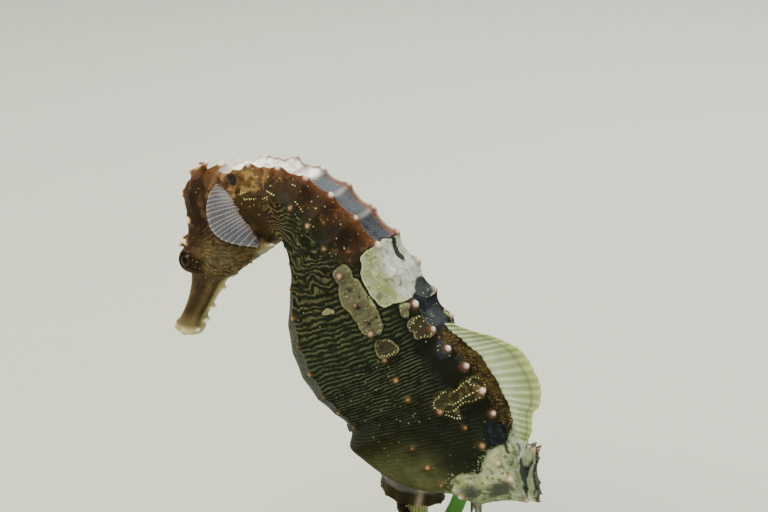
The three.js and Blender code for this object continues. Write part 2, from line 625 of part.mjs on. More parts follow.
add(
  "pectoral_fin_left",
  fan({ ...PECTORAL_FIN, foot: mirrored(PECTORAL_FIN.foot), edge: mirrored(PECTORAL_FIN.edge) }, -0.35),
  0xb9b3a4,
);
add("seagrass_sheath", sheath(), 0x9aa25a);
GRASS.blades.forEach((b, i) => add(`seagrass_blade_${i + 1}`, blade(b), 0x3f8f2a));
add("seagrass_blade_low", lowBlade(), 0x3f8f2a);
add("stand_base", standBase(), 0x3a2417, 0.45);
add("stand_rod_body", rod(ROD_RADIUS, ...BODY_ROD.at, BASE_TOP + GAP, BODY_ROD.top), 0x9a9a98, 0.3, 1);
add("stand_rod_perch", rod(ROD_RADIUS, ...COIL_AXIS, BASE_TOP + GAP, GRASS.foot - GAP), 0x9a9a98, 0.3, 1);

export default root;
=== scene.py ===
import bmesh
import bpy
import numpy as np
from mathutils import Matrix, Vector


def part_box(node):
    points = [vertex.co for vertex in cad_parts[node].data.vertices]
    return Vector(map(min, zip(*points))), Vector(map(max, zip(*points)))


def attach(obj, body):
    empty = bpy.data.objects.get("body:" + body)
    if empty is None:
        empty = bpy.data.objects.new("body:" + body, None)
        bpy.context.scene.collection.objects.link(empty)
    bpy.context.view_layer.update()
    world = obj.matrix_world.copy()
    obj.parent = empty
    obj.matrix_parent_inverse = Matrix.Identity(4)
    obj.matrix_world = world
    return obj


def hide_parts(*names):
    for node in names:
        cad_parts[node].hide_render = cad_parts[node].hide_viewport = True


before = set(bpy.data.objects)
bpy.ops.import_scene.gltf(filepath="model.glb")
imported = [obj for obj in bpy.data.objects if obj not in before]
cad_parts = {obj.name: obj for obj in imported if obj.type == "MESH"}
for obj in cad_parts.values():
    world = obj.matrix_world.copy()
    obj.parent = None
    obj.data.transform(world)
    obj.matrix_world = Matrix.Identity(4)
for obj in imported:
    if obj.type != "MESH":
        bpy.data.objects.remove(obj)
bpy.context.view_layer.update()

mm = 0.001  # shapes are worked out in millimetres and go into the scene in metres

# settings of the two kinds of colour mix
mixed = {"data_type": "RGBA"}
multiplied = {"data_type": "RGBA", "blend_type": "MULTIPLY"}


def toLinear(code):
    # sRGB hex to linear red, green, blue and a full alpha
    parts = [int(code[i:i + 2], 16) / 255 for i in (0, 2, 4)]
    return [p / 12.92 if p <= 0.04045 else ((p + 0.055) / 1.055) ** 2.4 for p in parts] + [1.0]


def feed(tree, node, links):
    # each named input socket gets a plain value, a colour code or the socket that feeds it
    for name, value in links.items():
        socket = node.inputs[name]
        if isinstance(value, bpy.types.NodeSocket):
            tree.links.new(value, socket)
        else:
            socket.default_value = toLinear(value) if isinstance(value, str) else value


def addNode(tree, kind, settings=None, links=None, out=0):
    # adds one shader node with its settings and links, and gives back the output that is used
    node = tree.nodes.new("ShaderNode" + kind)
    for name, value in (settings or {}).items():
        if name == "ramp":
            stops = node.color_ramp.elements
            while len(stops) < len(value):
                stops.new(1.0)
            for stop, (place, colour) in zip(stops, value):
                stop.position = place
                stop.color = toLinear(colour)
        else:
            setattr(node, name, value)
    feed(tree, node, links or {})
    return node.outputs[out]


def startMaterial(name):
    # a new material, with its node tree and its shader
    material = bpy.data.materials.new(name)
    material.use_nodes = True
    return material, material.node_tree, material.node_tree.nodes["Principled BSDF"]


def along(places, values, at):
    # smooth curve through values at uneven places: cubic pieces with finite-difference slopes
    x = np.asarray(places, float)
    v = np.asarray(values, float)
    a = np.clip(np.asarray(at, float), x[0], x[-1])
    n = len(x)
    before = np.maximum(np.arange(n) - 1, 0)
    after = np.minimum(np.arange(n) + 1, n - 1)
    reach = x[after] - x[before]
    slope = (v[after] - v[before]) / (reach if v.ndim == 1 else reach[:, None])
    i = np.clip(np.searchsorted(x, a, side="right") - 1, 0, n - 2)
    span = x[i + 1] - x[i]
    t = (a - x[i]) / span
    if v.ndim > 1:
        span, t = span[..., None], t[..., None]
    rise = v[i + 1] - v[i]
    s0, s1 = slope[i] * span, slope[i + 1] * span
    return v[i] + t * (s0 + t * (3 * rise - 2 * s0 - s1 + t * (s0 + s1 - 2 * rise)))


def unit(v):
    return v / np.linalg.norm(v, axis=-1, keepdims=True)


def bell(x, reach):
    # 1 in the middle, falling smoothly to about a third at the reach
    return np.exp(-(x / reach) ** 2)


def fade(x, a, b):
    # 0 before a, 1 after b, smooth between; a may be the larger
    t = np.clip((x - a) / (b - a), 0, 1)
    return t * t * (3 - 2 * t)


def addMesh(name, points, faces, smooth=True):
    # points are in millimetres; faces are rows of four corners, or of three
    mesh = bpy.data.meshes.new(name)
    flat = np.asarray(points, float).reshape(-1, 3) * mm
    faces = np.asarray(faces, np.int32)
    corners = faces.shape[1]
    mesh.vertices.add(len(flat))
    mesh.vertices.foreach_set("co", flat.astype(np.float32).ravel())
    mesh.loops.add(faces.size)
    mesh.loops.foreach_set("vertex_index", faces.ravel())
    mesh.polygons.add(len(faces))
    mesh.polygons.foreach_set("loop_start", np.arange(0, faces.size, corners, dtype=np.int32))
    mesh.polygons.foreach_set("use_smooth", np.full(len(faces), smooth))
    mesh.update(calc_edges=True)
    mesh.validate()
    piece = bpy.data.objects.new(name, mesh)
    bpy.context.scene.collection.objects.link(piece)
    return piece


def gridFaces(rows, columns, closed):
    # quads of a grid of points, row by row; closed joins the last column to the first
    r = np.arange(rows - 1)[:, None]
    c = np.arange(columns if closed else columns - 1)[None, :]
    nextC = (c + 1) % columns
    quads = [r * columns + c, r * columns + nextC, (r + 1) * columns + nextC, (r + 1) * columns + c]
    return np.stack([q.ravel() for q in np.broadcast_arrays(*quads)], 1)


def closedTube(points):
    # a grid of closed rows, with a fan of triangles round a middle point over each end
    rows, columns, _ = points.shape
    ends = np.stack([points[0].mean(0), points[-1].mean(0)])
    flat = np.concatenate([points.reshape(-1, 3), ends])
    quads = gridFaces(rows, columns, True)
    c = np.arange(columns)
    nextC = (c + 1) % columns
    first, last = rows * columns, rows * columns + 1
    top = (rows - 1) * columns
    capA = np.stack([nextC, c, np.full(columns, first)], 1)
    capB = np.stack([top + c, top + nextC, np.full(columns, last)], 1)
    tris = np.concatenate([quads[:, [0, 1, 2]], quads[:, [0, 2, 3]], capA, capB])
    volume = np.einsum("ij,ij->i", flat[tris[:, 0]], np.cross(flat[tris[:, 1]], flat[tris[:, 2]])).sum()
    return flat, tris if volume > 0 else tris[:, ::-1]


def addValues(piece, values):
    # one number per vertex under each name, for the materials to read
    for name, numbers in values.items():
        layer = piece.data.attributes.new(name, "FLOAT", "POINT")
        layer.data.foreach_set("value", np.asarray(numbers, np.float32).ravel())


def addColours(piece, name, colours):
    layer = piece.data.attributes.new(name, "FLOAT_COLOR", "POINT")
    layer.data.foreach_set("color", np.asarray(colours, np.float32).ravel())


def dress(piece, material, slot, *nodes):
    # the piece's material, and the nodes that it takes the place of; the slot is not used
    piece.data.materials.clear()
    piece.data.materials.append(material)
    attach(piece, "root")
    if nodes:
        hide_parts(*nodes)


view = {"azimuth": 25.0, "elevation": 18.0, "distance": 425.6, "target": (6.7, 0.0, 75.0), "lens": 105.0}


def makeCamera():
    # the camera looks at the target from that azimuth, elevation and distance
    az, el = np.radians(view["azimuth"]), np.radians(view["elevation"])
    back = np.array([np.sin(az) * np.cos(el), -np.cos(az) * np.cos(el), np.sin(el)])
    camera = bpy.data.objects.new("camera", bpy.data.cameras.new("camera"))
    camera.data.lens = view["lens"]
    camera.data.sensor_width = 36
    camera.location = (np.array(view["target"]) + view["distance"] * back) * mm
    camera.rotation_euler = Vector(back).to_track_quat("Z", "Y").to_euler()
    bpy.context.scene.collection.objects.link(camera)
    bpy.context.scene.camera = camera


stage = {"floorSize": 6.0, "floorColour": "c9ccc4", "worldColour": "dfe4e6", "worldStrength": 0.3}
lamps = [  # name, place in metres, size in metres, watts, colour
    ("keyLamp", (-0.30, -0.50, 0.80), 0.60, 14.0, "fff3df"),
    ("fillLamp", (0.75, -0.45, 0.35), 0.60, 3.0, "eef4f0"),
    ("backLamp", (0.05, 0.50, 0.70), 0.60, 10.0, "f6fbea"),
]


def makeStage():
    h = stage["floorSize"] / 2 / mm
    floor = addMesh("floor", [[-h, -h, 0], [h, -h, 0], [h, h, 0], [-h, h, 0]], [[0, 1, 2, 3]], False)
    # smooth matt card: even, with hardly any sheen
    material, tree, shader = startMaterial("matt paper sweep")
    grain = addNode(tree, "TexNoise", {}, {"Scale": 900.0, "Detail": 3.0})
    bump = addNode(tree, "Bump", {}, {"Strength": 0.04, "Distance": 0.0002, "Height": grain})
    feed(tree, shader, {"Base Color": stage["floorColour"], "Roughness": 0.9, "Normal": bump})
    floor.data.materials.append(material)
    world = bpy.data.worlds.new("studio")
    world.use_nodes = True
    background = world.node_tree.nodes["Background"]
    background.inputs["Color"].default_value = toLinear(stage["worldColour"])
    background.inputs["Strength"].default_value = stage["worldStrength"]
    bpy.context.scene.world = world
    for name, place, size, watts, colour in lamps:
        lamp = bpy.data.objects.new(name, bpy.data.lights.new(name, "AREA"))
        lamp.data.shape = "DISK"
        lamp.data.size = size
        lamp.data.energy = watts
        lamp.data.color = toLinear(colour)[:3]
        lamp.location = place
        lamp.rotation_euler = (Vector(place) - Vector((0, 0, 0.06))).to_track_quat("Z", "Y").to_euler()
        bpy.context.scene.collection.objects.link(lamp)


makeCamera()
makeStage()
print("camera and stage made")


body = {
    # ring, dorsal x and z, ventral x and z, half width
    "sections": [
        (-8.0, -39.3, 54.3, -33.5, 53.7, 2.9), (-7.2, -37.6, 57.3, -32.1, 57.6, 2.5),
        (-6.4, -36.2, 60.6, -30.0, 61.2, 2.4), (-5.6, -35.4, 63.8, -27.6, 65.2, 2.9),
        (-4.8, -35.2, 66.5, -24.9, 67.4, 3.8), (-4.0, -35.3, 69.7, -21.8, 69.9, 4.6),
        (-3.0, -35.7, 74.2, -18.9, 71.9, 5.1), (-2.0, -36.5, 80.6, -17.0, 73.6, 5.1),
        (-1.5, -36.2, 83.6, -16.6, 74.1, 5.0), (-1.0, -33.9, 86.2, -16.2, 74.6, 5.1),
        (0.0, -26.6, 88.4, -15.5, 75.2, 5.6),
        (1.0, -20.1, 90.2, -14.7, 75.2, 6.2), (2.0, -13.8, 90.4, -13.6, 74.4, 6.6),
        (3.0, -8.0, 89.2, -12.8, 72.3, 6.9), (4.0, -2.7, 86.6, -12.7, 68.7, 7.3),
        (5.0, 2.5, 82.9, -13.4, 63.8, 7.8), (6.0, 7.3, 78.4, -14.0, 57.9, 8.4),
        (7.0, 11.5, 73.2, -13.1, 52.3, 8.8), (8.0, 15.2, 68.0, -10.9, 47.3, 8.9),
        (9.0, 18.6, 63.3, -7.6, 43.4, 8.6), (10.0, 21.6, 59.9, -4.0, 41.1, 8.3),
        (11.0, 25.1, 56.8, -0.4, 38.9, 7.9), (12.0, 28.4, 52.4, 0.2, 35.4, 7.4),
        (13.0, 31.2, 48.4, 2.8, 32.5, 7.0), (14.0, 33.9, 44.8, 7.8, 30.0, 6.6),
        (15.0, 36.0, 41.2, 14.4, 28.8, 6.2),
    ],
    # ring, middle, dorsal direction, left direction: the tail turns aside behind the pouch
    "bend": [
        (16, (29.0, 0.1, 34.0), (0.87, 0, 0.49), (0.09, -0.98, -0.15)),
        (17, (31.2, 2.2, 32.9), (0.94, -0.08, 0.3), (0.21, -0.71, -0.67)),
        (18, (31.7, 5.5, 32.1), (0.97, 0.08, 0.16), (0.15, -0.34, -0.92)),
    ],
    "runStart": 19,
    "run": [(31.1, 9.1, 31.4), (28.3, 12.9, 30.8), (24.2, 16.4, 30.1), (17.6, 18.2, 29.3)],
    "coilAxis": (9.4, 10.1),
    "coilTurn": 25,
    # angle round the axis in degrees, distance from it, height
    "coil": [
        (70, 7.6, 28.2), (105, 6.8, 27.4), (140, 6.0, 26.5), (180, 5.3, 25.5), (225, 4.9, 24.6),
        (270, 4.7, 23.9), (315, 4.4, 23.2), (360, 4.1, 22.5), (420, 3.8, 21.5), (480, 3.5, 20.5),
        (540, 3.3, 19.5), (600, 3.2, 18.5),
    ],
    "taper": 1.32,
    "tip": 47,
    "tailDepth": [(16, 7.9), (17, 5.6), (18, 4.9), (19, 4.4), (22, 3.6), (26, 2.9), (30, 2.3), (34, 1.8),
                  (40, 1.2), (45, 0.7), (47, 0.4)],
    "tailWidth": [(16, 5.7), (17, 5.1), (18, 4.6), (19, 4.3), (22, 3.6), (26, 2.9), (30, 2.3), (34, 1.8),
                  (40, 1.1), (45, 0.7), (47, 0.4)],
}


def makeLine():
    # middle, dorsal and left direction at each station, from the sections, the bend and the coil
    cut = np.array(body["sections"])
    dorsal = np.stack([cut[:, 1], 0 * cut[:, 1], cut[:, 2]], 1)
    ventral = np.stack([cut[:, 3], 0 * cut[:, 3], cut[:, 4]], 1)
    coil = np.array(body["coil"], float)
    way = np.radians(coil[:, 0] + body["coilTurn"])
    ax, ay = body["coilAxis"]
    wound = np.stack([ax + coil[:, 1] * np.cos(way), ay + coil[:, 1] * np.sin(way), coil[:, 2]], 1)
    keys = np.concatenate([np.array(body["run"], float), wound])
    chords = np.r_[0, np.cumsum(np.linalg.norm(np.diff(keys, axis=0), axis=1))]
    rings = np.arange(body["runStart"], body["tip"] + 1.0)
    share = (rings - body["runStart"]) / (body["tip"] - body["runStart"])
    place = chords[-1] * (1 - (1 - share) ** body["taper"])
    tailAt = along(chords, keys, place)
    ahead = along(chords, keys, np.minimum(place + 0.1, chords[-1]))
    way = ahead - along(chords, keys, np.maximum(place - 0.1, 0))
    tailDorsal = unit(np.stack([way[:, 1], -way[:, 0], 0 * way[:, 0]], 1))
    tailLeft = unit(np.cross(way, tailDorsal))
    bend = body["bend"]
    bendDorsal = unit(np.array([b[2] for b in bend], float))
    halfDepth = np.linalg.norm(dorsal - ventral, axis=1) / 2
    deep = np.array(body["tailDepth"])
    wide = np.array(body["tailWidth"])
    return {
        "ring": np.r_[cut[:, 0], [b[0] for b in bend], rings],
        "at": np.concatenate([(dorsal + ventral) / 2, [b[1] for b in bend], tailAt]),
        "dorsal": np.concatenate([unit(dorsal - ventral), bendDorsal, tailDorsal]),
        "left": np.concatenate([np.tile([0, -1.0, 0], (len(cut), 1)), [b[3] for b in bend], tailLeft]),
        "depth": (np.r_[cut[:, 0], deep[:, 0]], np.r_[halfDepth, deep[:, 1]]),
        "width": (np.r_[cut[:, 0], wide[:, 0]], np.r_[cut[:, 5], wide[:, 1]]),
    }


line = makeLine()


def frameAt(q):
    # centre, dorsal and left directions, normal, half depth and half width of the section at ring q
    at = along(line["ring"], line["at"], q)
    dorsal = unit(along(line["ring"], line["dorsal"], q))
    normal = unit(np.cross(dorsal, along(line["ring"], line["left"], q)))
    return at, dorsal, np.cross(normal, dorsal), normal, along(*line["depth"], q), along(*line["width"], q)


section = {
    "ridges": {"M": 0.0, "S": 0.2, "L": 0.45, "I": 0.72, "K": 1.0},  # u from the dorsal midline to the keel
    # ring, M depth, S, L and I as depth and width shares, then how far the four faces bow out
    "shapes": [
        (-8, 1, 0.72, 0.7, 0, 1, -0.72, 0.7, 0.06, 0.08, 0.08, 0.06),
        (-5.6, 1, 0.72, 0.7, 0, 1, -0.72, 0.7, 0.06, 0.08, 0.08, 0.06),
        (-4, 1, 0.82, 0.6, 0.05, 1, -0.7, 0.68, 0.03, 0.08, 0.09, 0.06),
        (-2.2, 1, 0.84, 0.42, -0.08, 1, -0.74, 0.62, 0.03, 0.06, 0.1, 0.06),
        (-0.6, 1, 0.86, 0.44, 0.1, 1, -0.7, 0.6, 0.03, 0.06, 0.08, 0.06),
        (1, 0.97, 0.97, 0.52, 0.36, 1, -0.6, 0.68, 0, 0.04, 0.07, 0.05),
        (4, 0.95, 0.97, 0.48, 0.4, 1, -0.52, 0.8, -0.02, 0.04, 0.05, 0.04),
        (8, 0.95, 0.97, 0.48, 0.44, 1, -0.55, 0.82, -0.02, 0.05, 0.06, 0.04),
        (10, 0.96, 0.97, 0.48, 0.33, 1, -0.64, 0.74, -0.02, 0.05, 0.07, 0.05),
        (11, 0.97, 0.97, 0.5, 0.24, 1, -0.72, 0.6, -0.01, 0.06, 0.1, 0.08),
        (12, 0.98, 0.96, 0.52, 0.5, 0.98, -0.28, 1, 0, 0.04, 0.04, 0.2),
        (13, 0.99, 0.95, 0.5, 0.64, 0.96, -0.04, 1, 0, 0.04, 0.02, 0.2),
        (14, 0.97, 0.93, 0.5, 0.66, 0.95, -0.1, 1, 0, 0.04, 0, 0.2),
        (15, 0.95, 0.93, 0.5, 0.68, 0.95, -0.26, 1, 0, 0.03, 0, 0.18),
        (16, 0.93, 0.92, 0.5, 0.8, 0.95, -0.52, 0.96, 0, 0.02, 0, 0.12),
        (17, 0.92, 0.93, 0.5, 0.9, 0.93, -0.86, 0.92, 0, 0, 0, 0.03),
        (19, 0.9, 0.92, 0.5, 0.92, 0.92, -0.92, 0.9, 0, 0, 0, 0),
        (47, 0.9, 0.9, 0.45, 0.8, 0.8, -0.8, 0.8, 0, 0, 0, 0),
    ],
}


def outline(q, u):
    # the half section at u as depth and width shares: four chords between the ridges, each bowed
    # outwards by a parabola
    q, u = np.broadcast_arrays(np.asarray(q, float), np.asarray(u, float))
    table = np.array(section["shapes"], float)
    col = [along(table[:, 0], table[:, k], q) for k in range(1, 12)]
    ends = list(section["ridges"].values())
    knots = [(col[0], 0 * q), (col[1], col[2]), (col[3], col[4]), (col[5], col[6]), (-1 + 0 * q, 0 * q)]
    deep, wide = np.zeros(q.shape), np.zeros(q.shape)
    for i in range(4):
        (a0, b0), (a1, b1) = knots[i], knots[i + 1]
        inside = (u >= ends[i]) & (u <= ends[i + 1])
        t = (u - ends[i]) / (ends[i + 1] - ends[i])
        bow = 4 * t * (1 - t) * col[7 + i]
        deep = np.where(inside, a0 + (a1 - a0) * t + bow * (b1 - b0), deep)
        wide = np.where(inside, b0 + (b1 - b0) * t - bow * (a1 - a0), wide)
    return deep, wide


def plainSkin(q, u, side):
    # a point of the section at ring q: out from its centre by the outline's two shares
    at, dorsal, left, _, depth, width = frameAt(q)
    deep, wide = outline(q, u)
    return at + dorsal * (deep * depth)[..., None] + left * (side * wide * width)[..., None]


forms = {
    # ring and height in mm of the knobs along each ridge
    "S": [(0, 0), (1, 0.9), (10, 1.1), (12, 1.5), (13, 0.6), (14, 0), (47, 0)],
    "L": [(2, 0), (3, 0.55), (6, 0.7), (11, 0.65), (12, 0.95), (16, 1.1), (26, 0.6), (32, 0.3),
          (40, 0.15), (47, 0)],
    "I": [(4, 0), (5, 0.5), (11, 0.6), (12, 0.1), (13, 0.7), (15, 0.75), (17, 0.5), (26, 0.4), (32, 0.2),
          (40, 0.1), (47, 0)],
    "proud": {"S": {7: 1.3, 12: 1.15, 3: 0.8, 5: 0.85}, "L": {3: 1.2, 7: 1.3}, "I": {}},
    # the pale tips are partly the knobs' own colour and partly a painted highlight
    "paleness": {"S": 1.0, "L": 0.86, "I": 0.8},  # how pale the tips are along each ridge
    "knobReach": {"S": 0.95, "L": 0.84, "I": 0.82},
    "ringRidge": 0.26,
    "ridgeCord": 0.2,
    "finSeat": (8.4, 14.2, 2.7, 0.12),  # from ring, to ring, height, reach in u
    "snoutKnobs": (-5.15, -5.95, -6.85, -7.5),  # their rings, just beside the keel
    "snoutKnob": (0.58, 1.1),  # reach and height of each
    "lumps": {"nape": 0.26, "head": 0.15, "flute": 0.06},  # heights of the uneven skin and the cheek's flutes
    "groove": (6.0, 0.7, 0.35),  # behind the gill cover: distance from its middle, half width, depth
    # the eye turret: distance from the looking line, and height of the skin there above the eye's middle
    "turret": [(0, -0.6), (1.35, -0.4), (1.5, 1.05), (1.66, 1.5), (2.0, 1.35), (2.6, 0.55), (3.6, -0.5)],
    "spines": [  # foot, tip, reach of the foot, how pale its tip is
        ((-34.7, 1.9, 72.9), (-37.1, 2.6, 73.3), 0.85, 1.0),
        ((-33.6, 3.2, 73.0), (-35.2, 4.7, 73.8), 0.8, 0.95),
        ((-36.2, 1.6, 71.6), (-37.2, 2.4, 71.8), 0.5, 0.7),
        ((-34.0, 2.4, 77.6), (-34.8, 3.2, 77.8), 0.95, 1.0),
        ((-30.3, 0.0, 87.2), (-30.2, 0.0, 88.2), 1.8, 0.0),
        ((-27.9, 0.0, 88.0), (-28.1, 0.0, 89.9), 1.05, 1.0),
        ((-24.1, 0.0, 89.0), (-24.4, 0.0, 90.6), 1.5, 0.9),
        ((-20.6, 0.0, 90.0), (-20.9, 0.0, 91.1), 0.8, 0.9),
        ((-26.2, 3.4, 86.7), (-26.0, 4.0, 87.3), 0.5, 0.6),
        ((-36.4, 0.8, 82.2), (-37.0, 1.0, 82.3), 0.8, 0.8),
        ((-19.6, 1.6, 72.6), (-17.9, 2.3, 73.9), 1.7, 0.0),
        ((-18.2, 2.2, 73.9), (-15.0, 3.0, 75.2), 0.95, 0.0),
        ((-38.9, 0.8, 54.9), (-39.5, 1.0, 54.9), 0.9, 0.8),
        ((-34.0, 1.4, 54.3), (-33.3, 1.5, 54.4), 0.8, 0.8),
        ((-37.4, 0.6, 53.6), (-37.2, 0.6, 52.8), 0.9, 0.5),
        ((-23.6, 2.2, 69.2), (-23.3, 2.8, 68.5), 0.5, 0.4),
        ((-21.9, 2.2, 71.0), (-21.5, 2.7, 70.1), 0.6, 0.3),
    ],
    # the ball is a little smaller than its socket; the cornea's height and reach are a bell's
    "eye": {"at": (-33.3, 4.0, 70.0), "radius": 2.0, "way": (-0.22, 0.97, 0.06), "play": 0.06,
            "cornea": (0.07, 0.55)},
    "gillCover": {"at": (-24.0, 5.2, 76.6), "reach": 4.0, "height": 0.9},
    "flutes": (-34.0, 72.3, 7),  # x and z of the place that they fan from, and how many to a radian
    "flapTip": (-15.1, 3.0, 75.1),  # the pale tip of the flap of the jaw
    # ridges of skin over bone on the side of the head: points, height and half width
    "folds": [
        ([(-28.9, 4.0, 83.4), (-28.4, 3.2, 85.8), (-28.3, 1.9, 87.2), (-27.4, 1.5, 87.7), (-26.3, 2.9, 87.3),
          (-26.0, 3.6, 86.0), (-26.2, 4.4, 84.2)], 0.65, 0.42),
        ([(-32.0, 3.4, 73.4), (-31.2, 3.2, 77.0), (-32.6, 2.4, 81.0), (-33.2, 1.6, 84.6)], 0.5, 0.7),
        ([(-30.6, 4.4, 70.6), (-27.4, 4.9, 73.6), (-24.6, 5.6, 78.8), (-22.6, 5.9, 82.6)], 0.3, 0.6),
    ],
}


def knobField(q, side, points):
    # for each vertex the height of the nearest ring's knobs and how near it is to a knob's tip: a
    # sharp tip on a broad bell, both of the distance in space from the knob's foot
    ring = np.round(q)
    out, tip = np.zeros(points.shape[:2]), np.zeros(points.shape[:2])
    for name in "SLI":
        table = np.array(forms[name], float)
        high = along(table[:, 0], table[:, 1], ring)
        for number, factor in forms["proud"][name].items():
            high = np.where(ring == number, high * factor, high)
        high = np.where(q > 0.5, np.maximum(high, 0), 0)
        foot = plainSkin(ring, np.full_like(ring, section["ridges"][name]), side)
        reach = forms["knobReach"][name] * (1 + 0.12 * np.sin(2.3 * ring + side))
        reach = reach * (0.55 + 0.45 * fade(q, 40, 16))  # finer towards the tip of the tail
        reach = reach * (1 + 0.3 * fade(q, 14.2, 15) * fade(q, 20, 18))  # blunter at its root
        off = np.linalg.norm(points - foot, axis=-1) / reach
        out = out + high * (0.6 * np.exp(-off ** 1.35) + 0.4 * np.exp(-(off / 1.9) ** 2))
        pale = forms["paleness"][name] * (0.9 + 0.1 * np.sin(3.1 * ring + 2 * side))
        tip = np.maximum(tip, np.exp(-(off / 0.95) ** 1.5) * fade(high, 0.05, 0.4) * pale)
    return out, tip


def ringRidges(q, u):
    # a low rib round each ring, stronger towards the ridges, and a thin cord along each ridge
    near = bell(q - np.round(q), 0.12)
    ridges = section["ridges"]
    closeness = sum(bell(u - ridges[name], 0.07) for name in "SLI")
    pouch = fade(q, 11.4, 12) * fade(q, 15.6, 15) * fade(u, 0.74, 0.8)
    amount = fade(q, 0.3, 1.2) * (1 - 0.85 * pouch)
    amount = amount * (1 + 0.7 * fade(q, 16.5, 19)) * (1 - 0.75 * fade(q, 22, 34))
    rib = forms["ringRidge"] * near * (0.35 + 0.65 * np.minimum(closeness, 1)) * amount
    cord = forms["ridgeCord"] * sum(bell(u - ridges[name], 0.02) for name in "SLI") * amount
    hollow = -0.16 * np.sin(np.pi * (q - np.floor(q))) ** 2 * amount * (1 - np.minimum(closeness, 1))
    return rib + cord + hollow


def nearestPoint(points, place):
    # the vertex of the skin that lies closest to a place
    off = np.linalg.norm(points - place, axis=-1)
    return points[np.unravel_index(off.argmin(), off.shape)]


def offPath(points, path):
    # distance of each vertex from a broken line of points
    least = np.full(points.shape[:-1], 99.0)
    for a, b in zip(path[:-1], path[1:]):
        t = np.clip((points - a) @ (b - a) / ((b - a) @ (b - a)), 0, 1)
        least = np.minimum(least, np.linalg.norm(points - a - t[..., None] * (b - a), axis=-1))
    return least


def skinPoints(q, u, side):
    # the plain section, pushed outwards by ribs, knobs, fin seat, gill cover and folds, then the
    # head's spines and eye turrets, each along its own direction
    at = frameAt(q)[0]
    points = plainSkin(q, u, side)
    outward = unit(points - at)
    knobs, tip = knobField(q + 0 * u, side, points)
    lift = ringRidges(q, u) + knobs
    start, end, height, reach = forms["finSeat"]
    share = np.clip((q - start) / (end - start), 0, 1)
    lift = lift + height * np.sin(np.pi * share) ** 0.7 * bell(u, reach)
    # the nape and the head are lumpy: two sines of place crossed
    x, y, z = np.moveaxis(points, -1, 0)
    onNape = fade(u, 0.26, 0.18) * fade(q, -0.3, 0.3) * fade(q, 3.2, 2.6)
    lift = lift + forms["lumps"]["nape"] * np.sin(2.3 * x + 1.1 * y) * np.sin(1.9 * y + 0.7 * x + 1) * onNape
    onHead = fade(q, 0.4, -0.4) * fade(q, -5.2, -4.2)
    lift = lift + forms["lumps"]["head"] * onHead * np.sin(2.0 * x + 0.9) * np.sin(1.7 * z)
    head = fade(q, 1.5, 0.9) + 0 * u
    if not head.any():
        return points + outward * lift[..., None], tip
    cover = forms["gillCover"]
    mirror = np.array([1.0, -side, 1.0])
    off = np.linalg.norm(points - np.array(cover["at"]) * mirror, axis=-1)
    lift = lift + head * cover["height"] * bell(off, cover["reach"])
    far, wide, deep = forms["groove"]
    lift = lift - head * deep * bell(off - far, wide) * fade(u, 0.2, 0.35)
    for path, high, wide in forms["folds"]:
        snapped = np.array([nearestPoint(points, np.array(p) * mirror) for p in path])
        lift = lift + head * high * bell(offPath(points, snapped), wide)
    # shallow fluting fans back from the eye over the cheek
    lift = lift + forms["lumps"]["flute"] * cheekShare(q, points) * np.sin(2 * np.pi * cheekAngle(points))
    points = points + outward * lift[..., None]
    reach, high = forms["snoutKnob"]
    for ring in forms["snoutKnobs"]:
        foot = nearestPoint(points, plainSkin(np.array([ring]), np.array([0.94]), side)[0])
        off = np.linalg.norm(points - foot, axis=-1)
        pull = head * np.exp(-(off / reach) ** 1.7)
        points = points + outward * (high * pull)[..., None]
        tip = np.maximum(tip, np.minimum(1.15 * pull, 1))
    for foot, top, reach, pale in forms["spines"]:
        top = np.array(top) * mirror
        foot = nearestPoint(points, np.array(foot) * mirror)
        off = np.linalg.norm(points - foot, axis=-1)
        pull = head * np.exp(-(off / reach) ** 1.7)
        points = points + (top - foot) * pull[..., None]
        tip = np.maximum(tip, pale * fade(pull, 0.15, 0.85))
    return eyeTurret(points, mirror, head), tip


def cheekAngle(points):
    # the turn round a place behind the eye, in flutes
    x, z, count = forms["flutes"]
    return np.arctan2(points[..., 2] - z, points[..., 0] - x) * count


def cheekShare(q, points):
    # 1 over the striped part of the cheek and 0 off it
    x, z = points[..., 0], points[..., 2]
    return fade(q, -0.6, -1.4) * fade(x, -31.6, -29.6) * fade(z, 79, 76.5) * fade(z, 65, 68) * fade(
        np.abs(points[..., 1]), 1.4, 2.4)


def eyeTurret(points, mirror, head):
    # round the eye the skin rises to a rim that hugs the ball, and inside the rim it sinks behind it
    eye = forms["eye"]
    way = unit(np.array(eye["way"]) * mirror)
    rel = points - np.array(eye["at"]) * mirror
    out = rel @ way
    off = np.linalg.norm(rel - out[..., None] * way, axis=-1)
    profile = np.interp(off, *zip(*forms["turret"]))
    weight = fade(off, 3.7, 2.3) * head * (out > -2.5)
    lift = np.where(off < 1.6, profile - out, np.maximum(profile - out, 0)) * weight
    return points + lift[..., None] * way


skinGrid = {"columns": 70, "headRows": 0.052, "trunkRows": 0.056, "tailRows": 0.14, "lipRows": 8}


def placeColumns(count):
    # u of each column: closer together near the three ridges
    fine = np.linspace(0, 1, 2001)
    nearRidges = sum(bell(fine - section["ridges"][name], 0.045) for name in "SLI")
    density = 1 + 2.4 * nearRidges + 0.8 * bell(fine, 0.1)
    total = np.cumsum(density) - density[0]
    return np.interp(np.linspace(0, total[-1], count + 1), total, fine)


